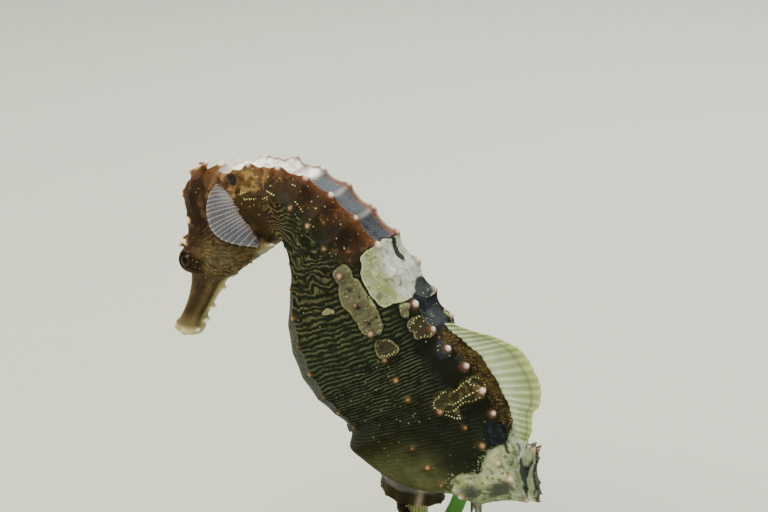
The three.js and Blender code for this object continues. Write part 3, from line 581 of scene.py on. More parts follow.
def makeSkinGrid():
    # rows along the body and columns round it, the left half from back to keel and the right half back
    q = np.concatenate([
        np.arange(-8, 0.5, skinGrid["headRows"]),
        np.arange(0.5, 17.5, skinGrid["trunkRows"]),
        np.arange(17.5, body["tip"] + 0.01, skinGrid["tailRows"]),
    ])[:, None]
    u = placeColumns(skinGrid["columns"])[None, :]
    left, leftTip = skinPoints(q, u, 1)
    right, rightTip = skinPoints(q, u, -1)
    points = np.concatenate([left, right[:, -2:0:-1]], 1)
    plain = np.concatenate([plainSkin(q, u, 1), plainSkin(q, u, -1)[:, -2:0:-1]], 1)
    tip = np.concatenate([leftTip, rightTip[:, -2:0:-1]], 1)
    uu = np.concatenate([u, u[:, -2:0:-1]], 1) + 0 * q
    side = np.where(np.arange(points.shape[1]) <= skinGrid["columns"], 1.0, -1.0)[None, :] + 0 * q
    qq = q + 0 * uu
    # the lips: rows that round over the end of the snout and turn into the mouth
    centre = points[0].mean(0)
    forward = -frameAt(np.array([-8.0]))[3][0]
    forward = forward if forward[2] < 0 else -forward  # out of the mouth, which faces down
    turn = np.linspace(0, np.pi, skinGrid["lipRows"])[1:, None, None]
    lip = centre + (points[0] - centre) * (1 - 0.22 * (1 - np.cos(turn))) + forward * 0.55 * np.sin(turn)
    narrow, deep = np.array([(0.4, 0.9), (0.16, 1.5)]).T[..., None, None]
    inner = centre + (points[0] - centre) * narrow - forward * deep
    mouth = np.concatenate([lip, inner])[::-1]
    extra = len(mouth)
    points = np.concatenate([mouth, points])
    inMouth = np.concatenate([np.linspace(1, 0, extra)[:, None] + 0 * uu[:1], 0 * uu])
    padded = [np.concatenate([np.repeat(field[:1], extra, 0), field]) for field in (qq, uu, side, tip, plain)]
    return points, inMouth, *padded


skinPointsGrid, mouthOf, ringOf, aroundOf, sideOf, tipOf, plainGrid = makeSkinGrid()
print("skin grid", skinPointsGrid.shape)


# the markings are outlines and strings of places on the skin, each a ring number and a place round
# it: 0 the middle of the back, 1 the keel, plus on the animal's left and minus on its right

marks = {
    "saddle": [[(6.03, 0.11), (5.93, 0.02), (6.03, -0.1), (6.1, -0.19), (6.5, -0.26), (6.9, -0.25),
                (7.1, -0.16), (7.18, -0.05), (7.5, -0.02), (7.69, 0.04), (7.81, 0.14), (7.77, 0.2),
                (7.73, 0.24), (7.61, 0.28), (7.57, 0.32), (7.46, 0.34), (7.25, 0.355), (7.03, 0.36),
                (6.82, 0.36), (6.59, 0.36), (6.36, 0.35), (6.17, 0.32), (5.97, 0.31), (5.93, 0.27),
                (5.97, 0.23), (6.11, 0.18)]],
    "window": [[(5.74, 0.41), (5.9, 0.39), (6.13, 0.38), (6.26, 0.39), (6.42, 0.37), (6.67, 0.37),
                (6.94, 0.37), (7.17, 0.36), (7.38, 0.36), (7.65, 0.37), (8.02, 0.38), (8.17, 0.41),
                (8.13, 0.44), (7.94, 0.46), (7.77, 0.47), (7.46, 0.47), (7.25, 0.475), (7.09, 0.475),
                (6.71, 0.49), (6.38, 0.48), (6.2, 0.47), (6.01, 0.47), (5.76, 0.46)],
               [(6.53, 0.58), (6.51, 0.56), (6.63, 0.54), (6.76, 0.525), (6.8, 0.54), (6.73, 0.56),
                (6.63, 0.58)],
               [(7.69, 0.25), (7.83, 0.23), (7.96, 0.23), (8.12, 0.25), (8.25, 0.25), (8.21, 0.27),
                (8.04, 0.285), (7.81, 0.27)],
               [(8.29, 0.44), (8.35, 0.41), (8.52, 0.38), (8.73, 0.37), (8.94, 0.37), (9.04, 0.4),
                (8.96, 0.44), (8.77, 0.46), (8.5, 0.46)],
               [(8.44, 0.28), (8.31, 0.25), (8.35, 0.21), (8.5, 0.17), (8.96, 0.17), (9.2, 0.22),
                (9.14, 0.25), (8.93, 0.28), (8.73, 0.27), (8.58, 0.285)]],
    "golden": [[(11.45, 0.39), (11.3, 0.36), (11.32, 0.32), (11.38, 0.29), (11.59, 0.28), (11.4, 0.25),
                (11.32, 0.22), (11.34, 0.17), (11.45, 0.1), (11.65, 0.08), (11.88, 0.1), (12.13, 0.13),
                (12.3, 0.19), (12.32, 0.25), (12.21, 0.3), (12.23, 0.35), (12.52, 0.37), (12.63, 0.41),
                (12.28, 0.42), (12.15, 0.46), (11.88, 0.46), (11.65, 0.43)]],
    "dark": [[(13.29, 0.29), (13.31, 0.24), (13.4, 0.15), (13.71, 0.11), (14.1, 0.14), (14.35, 0.22),
              (14.89, 0.25), (14.77, 0.28), (14.39, 0.26), (14.33, 0.32), (14.33, 0.39), (14.04, 0.39),
              (13.73, 0.38), (13.48, 0.34)],
             [(7.4, -0.1), (7.5, -0.2), (7.83, -0.2), (8.19, -0.11), (8.05, -0.02), (7.8, 0.04), (7.62, 0.0)],
             [(15.6, 0.0), (16.1, 0.1), (16.63, 0.21), (16.95, 0.42), (17.15, 0.36), (16.93, 0.08),
              (16.5, -0.08)],
             [(0.12, 0.21), (0.4, 0.22), (0.42, 0.29), (0.3, 0.33), (0.12, 0.29)]],
    "smudge": [[(16.3, 0.6), (16.05, 0.56), (15.95, 0.48), (16.36, 0.46), (16.6, 0.52), (16.6, 0.62)],
               [(15.6, 0.69), (15.7, 0.63), (16.1, 0.62), (16.35, 0.68), (16.12, 0.73)]],
    "slit": [[(5.96, -0.125), (6.1, -0.105), (6.32, -0.07), (6.52, -0.05), (6.72, -0.09), (6.68, -0.13),
              (6.5, -0.13), (6.3, -0.13), (6.1, -0.15)]],
    "slate": [[(7.9, 0.09), (8.31, 0.1), (8.6, 0.05), (9.14, 0.08), (9.7, 0.15), (10.3, 0.17), (10.3, 0.24),
               (9.75, 0.24), (9.3, 0.2), (9.3, 0.15), (9.3, 0.0), (9.2, -0.12), (8.8, -0.2), (8.2, -0.2),
               (7.8, -0.16), (7.7, 0.02)]],
    "fringe": [[(9.3, 0.17), (9.8, 0.14), (10.8, 0.14), (11.5, 0.15), (12.1, 0.14), (12.7, 0.15),
                (13.3, 0.17), (13.9, 0.13), (14.2, 0.07), (14.1, 0.0), (14.1, -0.07), (13.8, -0.13),
                (13.2, -0.17), (12.0, -0.14), (10.8, -0.14), (9.8, -0.14), (9.3, -0.17)]],
    # strings of fine gold dots; the first three are closed and follow edges of patches
    "strings": [
        [(11.5, 0.37), (11.42, 0.33), (11.6, 0.3), (11.5, 0.24), (11.45, 0.17), (11.7, 0.11), (12.05, 0.15),
         (12.2, 0.24), (12.1, 0.31), (12.2, 0.39), (11.95, 0.44), (11.65, 0.42), (11.5, 0.37)],
        [(8.5, 0.27), (8.38, 0.24), (8.5, 0.18), (8.9, 0.18), (9.12, 0.22), (8.95, 0.27), (8.7, 0.265),
         (8.5, 0.27)],
        [(8.34, 0.43), (8.5, 0.39), (8.8, 0.38), (8.98, 0.41), (8.8, 0.45)],
        [(12.01, 0.37), (11.96, 0.31), (11.92, 0.24), (11.97, 0.15)],
        [(11.49, 0.37), (11.69, 0.36), (12.05, 0.38)], [(11.45, 0.2), (11.6, 0.22), (11.8, 0.2)],
        [(12.3, 0.38), (12.58, 0.4), (12.5, 0.42), (12.2, 0.44)],
        [(6.2, 0.385), (6.7, 0.38), (7.2, 0.37), (7.6, 0.38), (8.0, 0.395), (8.1, 0.43)],
        [(0.55, 0.46), (1.2, 0.475)], [(0.8, 0.52), (1.45, 0.52)], [(0.95, 0.58), (1.5, 0.57)],
        [(1.1, 0.64), (1.6, 0.63)], [(0.3, 0.4), (0.8, 0.41)], [(1.5, 0.47), (1.8, 0.45)],
        [(2.5, 0.27), (3.1, 0.3)], [(2.9, 0.38), (3.5, 0.41)], [(1.6, 0.33), (2.0, 0.36)],
        [(1.7, 0.4), (2.1, 0.42)], [(4.1, 0.33), (4.6, 0.345)], [(4.8, 0.32), (5.3, 0.31)],
        [(3.6, 0.31), (3.9, 0.33)], [(5.2, 0.36), (5.6, 0.34)],
    ],
    "otherSide": (0.3, 0.94),  # on the right side the marks are this far along and this much nearer the back
    # the pale root of the tail begins at this ring, by the place round the body
    "rootStart": [(0, 13.9), (0.1, 14.1), (0.22, 14.5), (0.3, 14.4), (0.44, 14.43), (0.49, 14.77),
                  (0.55, 15.22), (0.6, 15.0), (0.64, 14.93), (0.68, 15.18), (0.72, 15.5), (0.78, 15.7),
                  (1, 16.4)],
}


def measure(places, closed):
    # distance in millimetres of each vertex from a smooth curve through the places, plus inside a
    # closed one and minus outside, and how far along the curve the nearest point of it is
    p = np.array(places, float)
    n = len(p)
    if closed:
        p = np.concatenate([p[-3:], p, p[:3]])
        curve = along(np.arange(n + 6), p, 3 + np.arange(n * 8) / 8)
    else:
        curve = along(np.arange(n), p, np.linspace(0, n - 1, 12 * n))
    q, v = curve.T
    path = np.where(v[:, None] >= 0, plainSkin(q, np.abs(v), 1), plainSkin(q, np.abs(v), -1))
    ways = unit(np.roll(path, -1, 0) - np.roll(path, 1, 0) if closed else np.gradient(path, axis=0))
    run = np.r_[0, np.cumsum(np.linalg.norm(np.diff(path, axis=0), axis=1))]
    near = (ringOf > q.min() - 1.3) & (ringOf < q.max() + 1.3)
    spot = plainGrid[near]
    off = np.linalg.norm(spot[:, None] - path[None], axis=-1)
    i = off.argmin(1)
    step = np.einsum("ij,ij->i", spot - path[i], ways[i])
    least = np.sqrt(np.maximum(off.min(1) ** 2 - step ** 2, 0)) if closed else off.min(1)
    if closed:
        # inside is where a line drawn along the body crosses the outline an odd number of times
        qs, vs = ringOf[near][:, None], (aroundOf * sideOf)[near][:, None]
        q2, v2 = np.roll(q, -1)[None], np.roll(v, -1)[None]
        spans = (v[None] > vs) != (v2 > vs)
        reached = (vs - v[None]) * (q2 - q[None]) / np.where(v2 == v[None], 1, v2 - v[None])
        cross = spans & (qs < q[None] + reached)
        least = np.where(cross.sum(1) % 2 == 1, least, -least)
    field, runs = np.full(ringOf.shape, -9.0 if closed else 9.0), np.zeros(ringOf.shape)
    field[near], runs[near] = least, run[i] + step
    return field, runs


def otherSide(places):
    further, nearer = marks["otherSide"]
    return [(ring + further, -v * nearer) for ring, v in places]


def patchField(name):
    # the slit in the saddle is on one side only; all other patches are on both
    mirrored = [] if name == "slit" else [otherSide(places) for places in marks[name]]
    return np.max([measure(places, True)[0] for places in marks[name] + mirrored], axis=0)


def stringFields():
    # distance from the nearest string and the run along it
    best, bestRun = np.full(ringOf.shape, 9.0), np.zeros(ringOf.shape)
    for places in marks["strings"]:
        for p in (places, otherSide(places)):
            field, run = measure(p, False)
            bestRun = np.where(field < best, run, bestRun)
            best = np.minimum(field, best)
    return best, bestRun


# each tone of the skin is a ground colour and colours laid over it, head to tail: its code, its
# strength and where it lies, as steps that are multiplied. (field, from, to) is a soft step,
# (field, middle, reach, "bell") a bell, and a name alone that field itself
washes = {
    "ground": ("161c0d", [
        # the red-brown neck, the dark lower trunk and the olive pouch
        ("33210f", 1, [("around", 0.46, 0.3), ("ring", 0.4, 1.5), ("ring", 6.2, 5.6)]),
        ("43260f", 1, [("around", 0.46, 0.3), ("ring", 0.4, 1.5), ("ring", 6.2, 5.6), ("around", 0.27, 0.2)]),
        ("20150c", 1, [("ring", 5.1, 0.55, "bell"), ("around", 0.33, 0.05, "bell")]),
        ("5a4422", 1, [("ring", 1.9, 0.9), ("ring", -0.3, 0.1), ("around", 0.16, 0.2),
                       ("around", 0.44, 0.34)]),
        ("101208", 1, [("ring", 8.2, 9.2), ("ring", 13.4, 12.6), ("around", 0.16, 0.22)]),
        ("25220f", 1, [("ring", 11.6, 12.6), ("around", 0.6, 0.8)]),
        ("5d633e", 0.8, [("ring", 12.2, 14), ("around", 0.6, 0.86)]),
        ("5f665c", 0.45, [("around", 0.9, 0.98), ("ring", 3.6, 5), ("ring", 11, 9)]),
        ("33240f", 0.9, [("ring", 3.0, 1.4), ("around", 0.3, 0.4)]),
        # the head: brown brow, dark temple, olive cheek, shade round the eye
        ("2e2112", 1, ["head"]),
        ("4c3820", 1, ["head", ("x", -33.6, -35.6), ("z", 70, 73)]),
        ("b19a66", 0.75, ["head", ("around", 0.09, 0.02), ("x", -33.5, -34.5), ("z", 72, 76)]),
        ("3c2814", 1, ["head", ("z", 82, 85)]),
        ("23180c", 0.9, ["head", ("x", -31.0, 1.6, "bell"), ("z", 74, 77), ("z", 87, 85)]),
        ("4a3d20", 1, ["head", ("z", 76.5, 73.5), ("x", -32.5, -29), ("z", 64, 67)]),
        ("666246", 0.6, ["head", ("z", 71.0, 1.8, "bell"), ("x", -26.5, 3.4, "bell")]),
        ("1f170c", 1, ["head", ("x", -31.0, 1.5, "bell"), ("z", 69.6, 1.9, "bell")]),
        ("251b0d", 0.85, ["head", ("fromEye", 3.3, 2.3)]),
        ("94754a", 0.7, ["head", ("arch", 0.9, 0.2)]),
        ("1a1109", 0.6, ["head", ("temple", 1.2, 0.7, "bell"), ("z", 73, 75)]),
        # the brown snout, its lighter sides and cream rim, and the flap of the jaw
        ("2f2513", 1, ["head", ("z", 68, 65.5)]),
        ("57492c", 1, ["head", ("z", 68, 65.5), "snoutSide"]),
        ("b5ab72", 0.85, ["head", ("z", 68, 65.0), "snoutEdge"]),
        ("696040", 0.8, ["head", ("z", 59, 54.5)]),
        ("c6bd8e", 0.8, ["head", ("z", 55.6, 53.9)]),
        ("7d5a2e", 0.8, ["head", ("z", 77, 74), ("around", 0.8, 0.95), ("z", 66, 69)]),
        ("8b8660", 1, [("x", -20.6, -18.6), ("z", 75.6, 74.6), ("ring", 0.6, 0.2), ("around", 0.74, 0.86)]),
        ("f3e2d4", 1, [("flapTip", 1.3, 0.6), ("ring", 0.5, 0.0)]),
        # the back between the upper ridges: white nape, partly its own pale colour and partly a painted
        # highlight from above, then grey-blue panels with paler ring edges
        # the near-white nape: its own pale colour, with a painted highlight from the light above laid in
        ("fdfbf6", 1, ["nape"]),
        ("4b4f59", 1, ["panels"]),
        ("30343e", 1, ["panels", ("ring", 4.4, 5.2)]),
        ("a0958f", 0.55, ["panels", ("offRing", 0, 0.075, "bell"), ("ring", 6.2, 5.8)]),
        ("7a6a66", 0.8, [("around", 0.19, 0.165), ("ring", 2.45, 0.12, "bell")]),
        ("7a4c36", 0.8, [("place", -0.17, 0.03, "bell"), ("ring", 3.0, 3.6), ("ring", 6.4, 6.0)]),
        ("57331c", 0.8, [("around", 0.21, 0.02, "bell"), ("ring", 0.8, 1.6), ("ring", 6.4, 6.0)]),
        ("c9b09c", 0.7, [("around", 0.188, 0.006, "bell"), ("ring", 0.8, 1.6), ("ring", 6.4, 6.0)]),
        ("5d3d20", 0.85, ["head", "napeBand"]),
        # the pale root of the tail, then the coil: brown sides, grey-blue above as painted light from above,
        # two pale bars
        ("a2aa84", 1, [("root", -0.4, 0.4)]),
        ("352f1a", 1, [("ring", 17.6, 19.0)]),
        ("17130a", 0.5, [("ring", 18, 20), ("offRing", 0.5, 0.16, "bell")]),
        ("17130a", 0.5, [("ring", 18, 20), ("offRing", -0.5, 0.16, "bell")]),
        # painted light: the coil's upper side is painted a paler grey-blue, by height over its middle, for
        # light falling from above
        ("777372", 0.85, [("ring", 18, 20), ("above", 0.5, 1.5)]),
        ("a99b80", 0.8, [("ring", 18, 20), ("ring", 22.4, 0.28, "bell")]),
        ("a99b80", 0.8, [("ring", 18, 20), ("ring", 35.3, 0.2, "bell")]),
        ("140b08", 1, ["mouth"]),
    ]),
    "veil": ("65634a", [  # what each patch lays over the ground
        ("332d17", 1, [("ring", 10.2, 10.6)]),
        ("3a3424", 1, [("ring", 8.15, 8.25), ("ring", 10.2, 9.8)]),
        ("8c9065", 1, [("ring", 6.65, 0.35, "bell"), ("around", 0.553, 0.05, "bell")]),
        ("868c5e", 1, [("saddle", -1.4, -0.9)]),
        ("c6cec2", 1, [("saddle", -1.4, -0.9), ("around", 0.26, 0.16)]),
        ("dde0dc", 1, [("saddle", -1.4, -0.9), ("around", 0.2, 0.035, "bell"), ("ring", 7.0, 0.6, "bell")]),
        ("7f8b66", 1, [("ring", 13.4, 13.8)]),
        ("b6bf9d", 1, [("around", 0.42, 0.1, "bell"), ("ring", 14.2, 15.2)]),
        ("b9c4b2", 1, [("ring", 13.4, 13.8), ("around", 0.2, 0.1), ("ring", 16.2, 15.4)]),
        ("6b4f3a", 0.8, [("ring", 16.5, 0.22, "bell"), ("place", 0.4, 0.035, "bell")]),
    ]),
    "lineTone": ("4f4f36", [
        ("424f36", 1, [("ring", 6, 8.5)]),
        ("2c3521", 1, [("ring", 10, 12.5)]),
        ("655736", 1, [("ring", 4.0, 2.0)]),
        ("7c744c", 1, [("ring", 0.4, 0.0)]),
    ]),
    # the knobs' pale tips: partly their own colour and partly a painted highlight
    "tipTone": ("ecd9cc", [  # the tips of the knobs
        ("b3947a", 1, [("around", 0.32, 0.36), ("ring", 0.4, 1)]),
        ("a8835a", 1, ["lowKnobs", ("ring", 3.5, 4.0), ("ring", 15.3, 14.8)]),
        ("ead5c8", 1, [("root", 0, 0.5)]),
        ("dcc0b0", 1, [("ring", 17.0, 17.6)]),
        ("b9968a", 1, [("ring", 19.5, 21)]),
        ("f6f0d6", 1, [("ring", 0.4, 0.0)]),
    ]),
    "skirtTone": ("4d3a22", [  # the skin round the foot of each knob
        ("6b4a38", 1, [("around", 0.36, 0.3)]),
        ("9a7a62", 1, [("root", 0, 0.5)]),
        ("8a6238", 1, [("ring", 0.4, 0.0)]),
        ("b3a274", 1, [("z", 68, 66), ("ring", -3, -4)]),
    ]),
}


def coverage(fields, steps):
    # the product of the steps at each vertex
    amount = np.ones(ringOf.shape)
    for step in steps:
        if isinstance(step, str):
            amount = amount * fields[step]
        elif len(step) == 4:
            amount = amount * bell(fields[step[0]] - step[1], step[2])
        else:
            amount = amount * fade(fields[step[0]], step[1], step[2])
    return amount


def layWashes(fields, name):
    ground, coats = washes[name]
    colour = np.zeros(ringOf.shape + (4,)) + np.array(toLinear(ground))
    for code, strength, steps in coats:
        amount = np.clip(strength * coverage(fields, steps), 0, 1)[..., None]
        colour = colour + (np.array(toLinear(code)) - colour) * amount
    return colour.reshape(-1, 4)


def skinPlaces():
    # where each vertex lies, in the measures that the washes use
    q, u = ringOf, aroundOf
    x, y, z = np.moveaxis(skinPointsGrid, -1, 0)
    local = np.stack([x, -sideOf * y, z], -1)
    arch, temple, _ = [offPath(local, np.array(fold[0])) for fold in forms["folds"]]
    places = {
        "ring": q, "around": u, "place": u * sideOf, "offRing": q - np.round(q), "x": x, "z": z,
        "betweenRings": 1 - bell(q - np.round(q), 0.16), "above": z - frameAt(q)[0][..., 2],
        "head": fade(q, 0.4, -0.4), "mouth": mouthOf,
        "fromEye": np.linalg.norm(local - forms["eye"]["at"], axis=-1), "arch": arch, "temple": temple,
        "flapTip": np.linalg.norm(local - forms["flapTip"], axis=-1),
        "snoutSide": np.maximum(bell(u - 0.6, 0.1), 0.8 * bell(u - 0.16, 0.1)),
        "snoutEdge": np.maximum(fade(u, 0.72, 0.93), 0.75 * fade(u, 0.12, 0.0)),
        "napeBand": np.exp(-((x + 28.5) / 3.6) ** 4 - ((z - 88.2) / 0.9) ** 2),
        "lowKnobs": np.maximum(fade(u, 0.56, 0.6), fade(u, 0.32, 0.36) * fade(q, 9.2, 9.5)),
    }
    places["panels"] = coverage(places, [("around", 0.19, 0.165), ("ring", 2.9, 3.2), ("ring", 9, 8.4)])
    return places


regions = {  # parts of the skin that the layers of pigment use, by the same steps
    "headShare": ["head", ("z", 60, 64)],
    "ochre": [("ring", 2.0, 1.2), ("ring", -0.3, 0.1), ("around", 0.16, 0.2), ("around", 0.46, 0.36)],
    "neck": [("around", 0.46, 0.36), ("around", 0.2, 0.24), ("ring", 1.0, 2.0), ("ring", 6.2, 5.6)],
    "nape": [("around", 0.19, 0.15), ("ring", -0.35, 0.1), ("ring", 3.4, 2.9)],
    "panel": [("around", 0.185, 0.165), ("ring", 2.9, 3.3), ("ring", 6.2, 6.0), "betweenRings"],
    "sideSparkle": [("ring", 0.2, 0.6), ("ring", 5.6, 5.0), ("around", 0.22, 0.28), ("around", 0.6, 0.45)],
    "underEye": [("ring", 0, -0.5), ("z", 69.5, 2.6, "bell"), ("x", -33.5, -31.5), ("x", -18, -22)],
}
pigmentLines = {  # by ring: how many lie ahead of it, and how far they lean back at the keel
    "count": [(-8, 0), (0, 2), (3, 6.5), (5, 13.5), (8, 31.5), (12, 57), (17, 84), (47, 190)],
    "lean": [(-8, 26), (3, 26), (5, 18), (8, 12), (12, 11), (17, 3), (47, 0)],
}


def paintSkin(piece):
    # the fields that the material turns into lines, patches, dots and knobs
    q, u = ringOf, aroundOf
    patches = ("saddle", "window", "golden", "dark", "smudge", "slit", "slate", "fringe")
    fields = {name: patchField(name) for name in patches}
    starts = np.array(marks["rootStart"])
    fields["root"] = np.minimum((q - along(starts[:, 0], starts[:, 1], u)) * 4, (17.7 - q) * 4)
    fields["stringOff"], fields["stringRun"] = stringFields()
    places = {**skinPlaces(), **fields}
    area = {name: coverage(places, steps) for name, steps in regions.items()}
    # the pigment lines: so many along the body, bent towards the head on the belly side
    downBody, lean = (along(*np.array(pigmentLines[name], float).T, q) for name in ("count", "lean"))
    fields["lineField"] = np.where(q < 0.2, cheekAngle(skinPointsGrid), downBody + lean * u ** 1.7)
    fields["waver"] = 1.3 + 3.4 * fade(q, 6.6, 5.4) * fade(u, 0.36, 0.5)
    higher = fade(q, 7, 5) * 0.16
    onBody = fade(q, 0.9, 2.0) * fade(q, 14.4, 13.2) * fade(u, 0.26 + higher, 0.36 + higher)
    onCheek = 0.42 * cheekShare(q, skinPointsGrid)
    fields["showLines"] = np.maximum(onCheek, onBody * (1 - 0.5 * fade(q, 9.5, 12.5)))
    fields["sparkle"] = np.max([area.pop("sideSparkle"), 0.8 * fade(fields["slate"], -0.2, 0.5),
                                0.8 * area.pop("underEye")], axis=0)
    fields["hatch"] = np.interp(q, [2.9, 6.2], [0, 52]) + 6 * u
    fields["knob"] = tipOf
    fields.update(area)
    addValues(piece, fields)
    for name in washes:
        addColours(piece, name, layWashes({**places, **area}, name))
    return list(fields)


def addBakeMap(piece, rows, columns):
    # the unwrap of the skin's own shape: along the body one way and round it the other
    layer = piece.data.uv_layers.new(name="OFBake")
    corners = np.zeros(len(piece.data.loops), np.int32)
    piece.data.loops.foreach_get("vertex_index", corners)
    row, column = corners // columns, corners % columns
    starts = np.zeros(len(piece.data.polygons), np.int32)
    piece.data.polygons.foreach_get("loop_start", starts)
    columnOf = column.reshape(-1, 4)
    wraps = (columnOf.max(1) - columnOf.min(1)) > columns / 2
    columnOf = np.where(wraps[:, None] & (columnOf < columns / 2), columnOf + columns, columnOf)
    step = np.r_[0, np.cumsum(np.linalg.norm(np.diff(skinPointsGrid.mean(1), axis=0), axis=1) + 0.02)]
    wide = np.interp(row, np.arange(rows), step / step[-1])
    uv = np.stack([wide * 0.98 + 0.01, columnOf.ravel() / columns * 0.98 + 0.01], 1)
    layer.data.foreach_set("uv", uv.astype(np.float32).ravel())


paint = {
    # noises: width of one blotch in millimetres and detail
    "noises": {"broad": (6.0, 3.0), "wavy": (3.4, 2.0), "medium": (1.6, 4.0), "rough": (2.2, 4.0),
               "blots": (1.2, 3.0), "fine": (0.5, 3.0)},
    # fields whose edges are made uneven: which noise, and by how many millimetres
    "uneven": {"saddle": ("rough", 1.1), "window": ("rough", 1.0), "golden": ("rough", 0.9),
               "dark": ("rough", 1.9), "slate": ("rough", 2.4), "smudge": ("rough", 4.0),
               "slit": ("fine", 0.3), "root": ("rough", 6.0), "fringe": ("fine", 4.2)},
    # dots: cell size and radius in millimetres
    "dots": {"sparse": (1.5, 0.15), "close": (0.9, 0.145), "grains": (0.5, 0.16)},
    "string": (0.56, 0.15),  # spacing and radius of the dots of a string
    # layers from the ground up: colour, strength, then the fields whose soft steps are multiplied
    "layers": [
        ("5a4128", 0.5, [("headShare", 0, 1), ("rough", 0.5, 0.62)]),
        ("1b130a", 0.55, [("headShare", 0, 1), ("blots", 0.55, 0.66)]),
        ("94794a", 0.6, [("ochre", 0.1, 0.8), ("medium", 0.48, 0.6)]),
        ("20160b", 0.6, [("ochre", 0.1, 0.8), ("blots", 0.54, 0.63)]),
        ("1a1109", 0.7, [("neck", 0, 1), ("rough", 0.5, 0.62)]),
        ("6f5136", 0.5, [("neck", 0, 1), ("medium", 0.54, 0.64), ("broad", 0.46, 0.56)]),
        ("a79b95", 0.5, [("nape", 0.2, 0.8), ("rough", 0.5, 0.58)]),
        ("7d6450", 0.55, [("nape", 0.2, 0.8), ("medium", 0.56, 0.64)]),
        ("lineTone", 0.85, [("wave", -0.15, 0.9), ("showLines", 0, 1), ("medium", 0.27, 0.54),
                            ("rough", 0.3, 0.5)]),
        ("0b0c05", 0.75, [("wave", -0.1, -0.9), ("showLines", 0, 1)]),
        ("666b76", 0.6, [("strokes", 0.1, 0.8), ("panel", 0, 1), ("medium", 0.36, 0.55)]),
        ("1b2027", 0.6, [("strokes", -0.2, -0.9), ("panel", 0, 1)]),
        ("1f242a", 0.92, [("slate", -0.2, 0.5)]),
        ("3a4148", 0.5, [("slate", 0.2, 0.8), ("medium", 0.52, 0.66)]),
        ("281f0e", 0.92, [("fringe", -0.9, 0.6)]),
        ("453a1b", 0.75, [("fringe", -0.2, 0.9), ("medium", 0.42, 0.6)]),
        ("80743f", 0.4, [("fringe", -0.1, 0.7), ("grains", 0, 1)]),
        ("0b0a05", 0.75, [("window", -0.75, -0.2), ("window", 0.1, -0.05)]),
        ("veil", 0.64, [("window", -0.05, 0.2), ("medium", 0.3, 0.42)]),
        ("8d9068", 0.42, [("window", -0.1, 0.02), ("window", 0.38, 0.2), ("blots", 0.42, 0.54)]),
        ("3a3420", 0.5, [("window", 0.2, 0.4), ("blots", 0.56, 0.64)]),
        ("veil", 0.55, [("golden", -0.05, 0.35)]),
        ("5c5530", 0.5, [("golden", 0.0, 0.3), ("blots", 0.5, 0.6)]),
        ("0b0907", 0.8, [("saddle", -0.65, -0.2), ("saddle", 0.05, -0.08)]),
        ("veil", 0.95, [("saddle", -0.08, 0.12)]),
        ("c7cdb0", 0.45, [("saddle", 0.0, 0.3), ("medium", 0.5, 0.62)]),
        ("8e9a80", 0.5, [("saddle", 0.0, 0.4), ("rough", 0.46, 0.56)]),
        ("4d452b", 0.6, [("saddle", 0.1, 0.5), ("blots", 0.56, 0.64)]),
        ("5e4526", 0.75, [("saddle", 0.1, 0.4), ("sparse", 0, 1)]),
        ("7f8a74", 0.5, [("saddle", 0.1, 0.4), ("grains", 0, 1), ("medium", 0.45, 0.55)]),
        ("b9bf90", 0.6, [("saddle", -0.05, 0.05), ("saddle", 0.3, 0.15)]),
        ("8f9a72", 0.8, [("root", -3.2, -0.6), ("grains", 0, 1), ("medium", 0.42, 0.56)]),
        ("veil", 0.92, [("root", -0.5, 0.6)]),
        ("b9c0a0", 0.6, [("root", 0.1, 0.5), ("medium", 0.5, 0.62)]),
        ("9a9c5c", 0.5, [("root", 0.1, 0.5), ("rough", 0.52, 0.62)]),
        ("6b7355", 0.55, [("root", 0.1, 0.5), ("rough", 0.46, 0.38)]),
        ("454b35", 0.7, [("root", 0.1, 0.5), ("blots", 0.54, 0.62)]),
        ("2c3531", 0.88, [("smudge", -0.7, 0.9)]),
        ("566052", 0.6, [("smudge", -0.3, 0.4), ("blots", 0.5, 0.58)]),
        ("0e1417", 0.93, [("dark", -0.25, 0.4)]),
        ("33414a", 0.4, [("dark", 0.1, 0.5), ("medium", 0.5, 0.62)]),
        ("14171a", 0.95, [("slit", -0.12, 0.08)]),
        ("b9b882", 0.75, [("close", 0, 1), ("sparkle", 0, 1), ("medium", 0.47, 0.53)]),
        ("a3a772", 0.45, [("sparse", 0, 1), ("broad", 0.44, 0.52)]),
        ("dcdf9c", 0.75, [("close", 0, 1), ("saddle", 0.0, 0.2), ("medium", 0.5, 0.44)]),
        ("cfd392", 0.6, [("close", 0, 1), ("window", 0.0, 0.2), ("medium", 0.44, 0.5)]),
        ("c9cf8e", 0.9, [("beads", 0, 1)]),
        ("skirtTone", 0.6, [("knob", 0.12, 0.5)]),
        # painted highlight: the pale knob tips stand partly for the knobs' own colour and partly for light
        # caught on their tips
        ("tipTone", 0.94, [("knob", 0.4, 0.8)]),
    ],
}


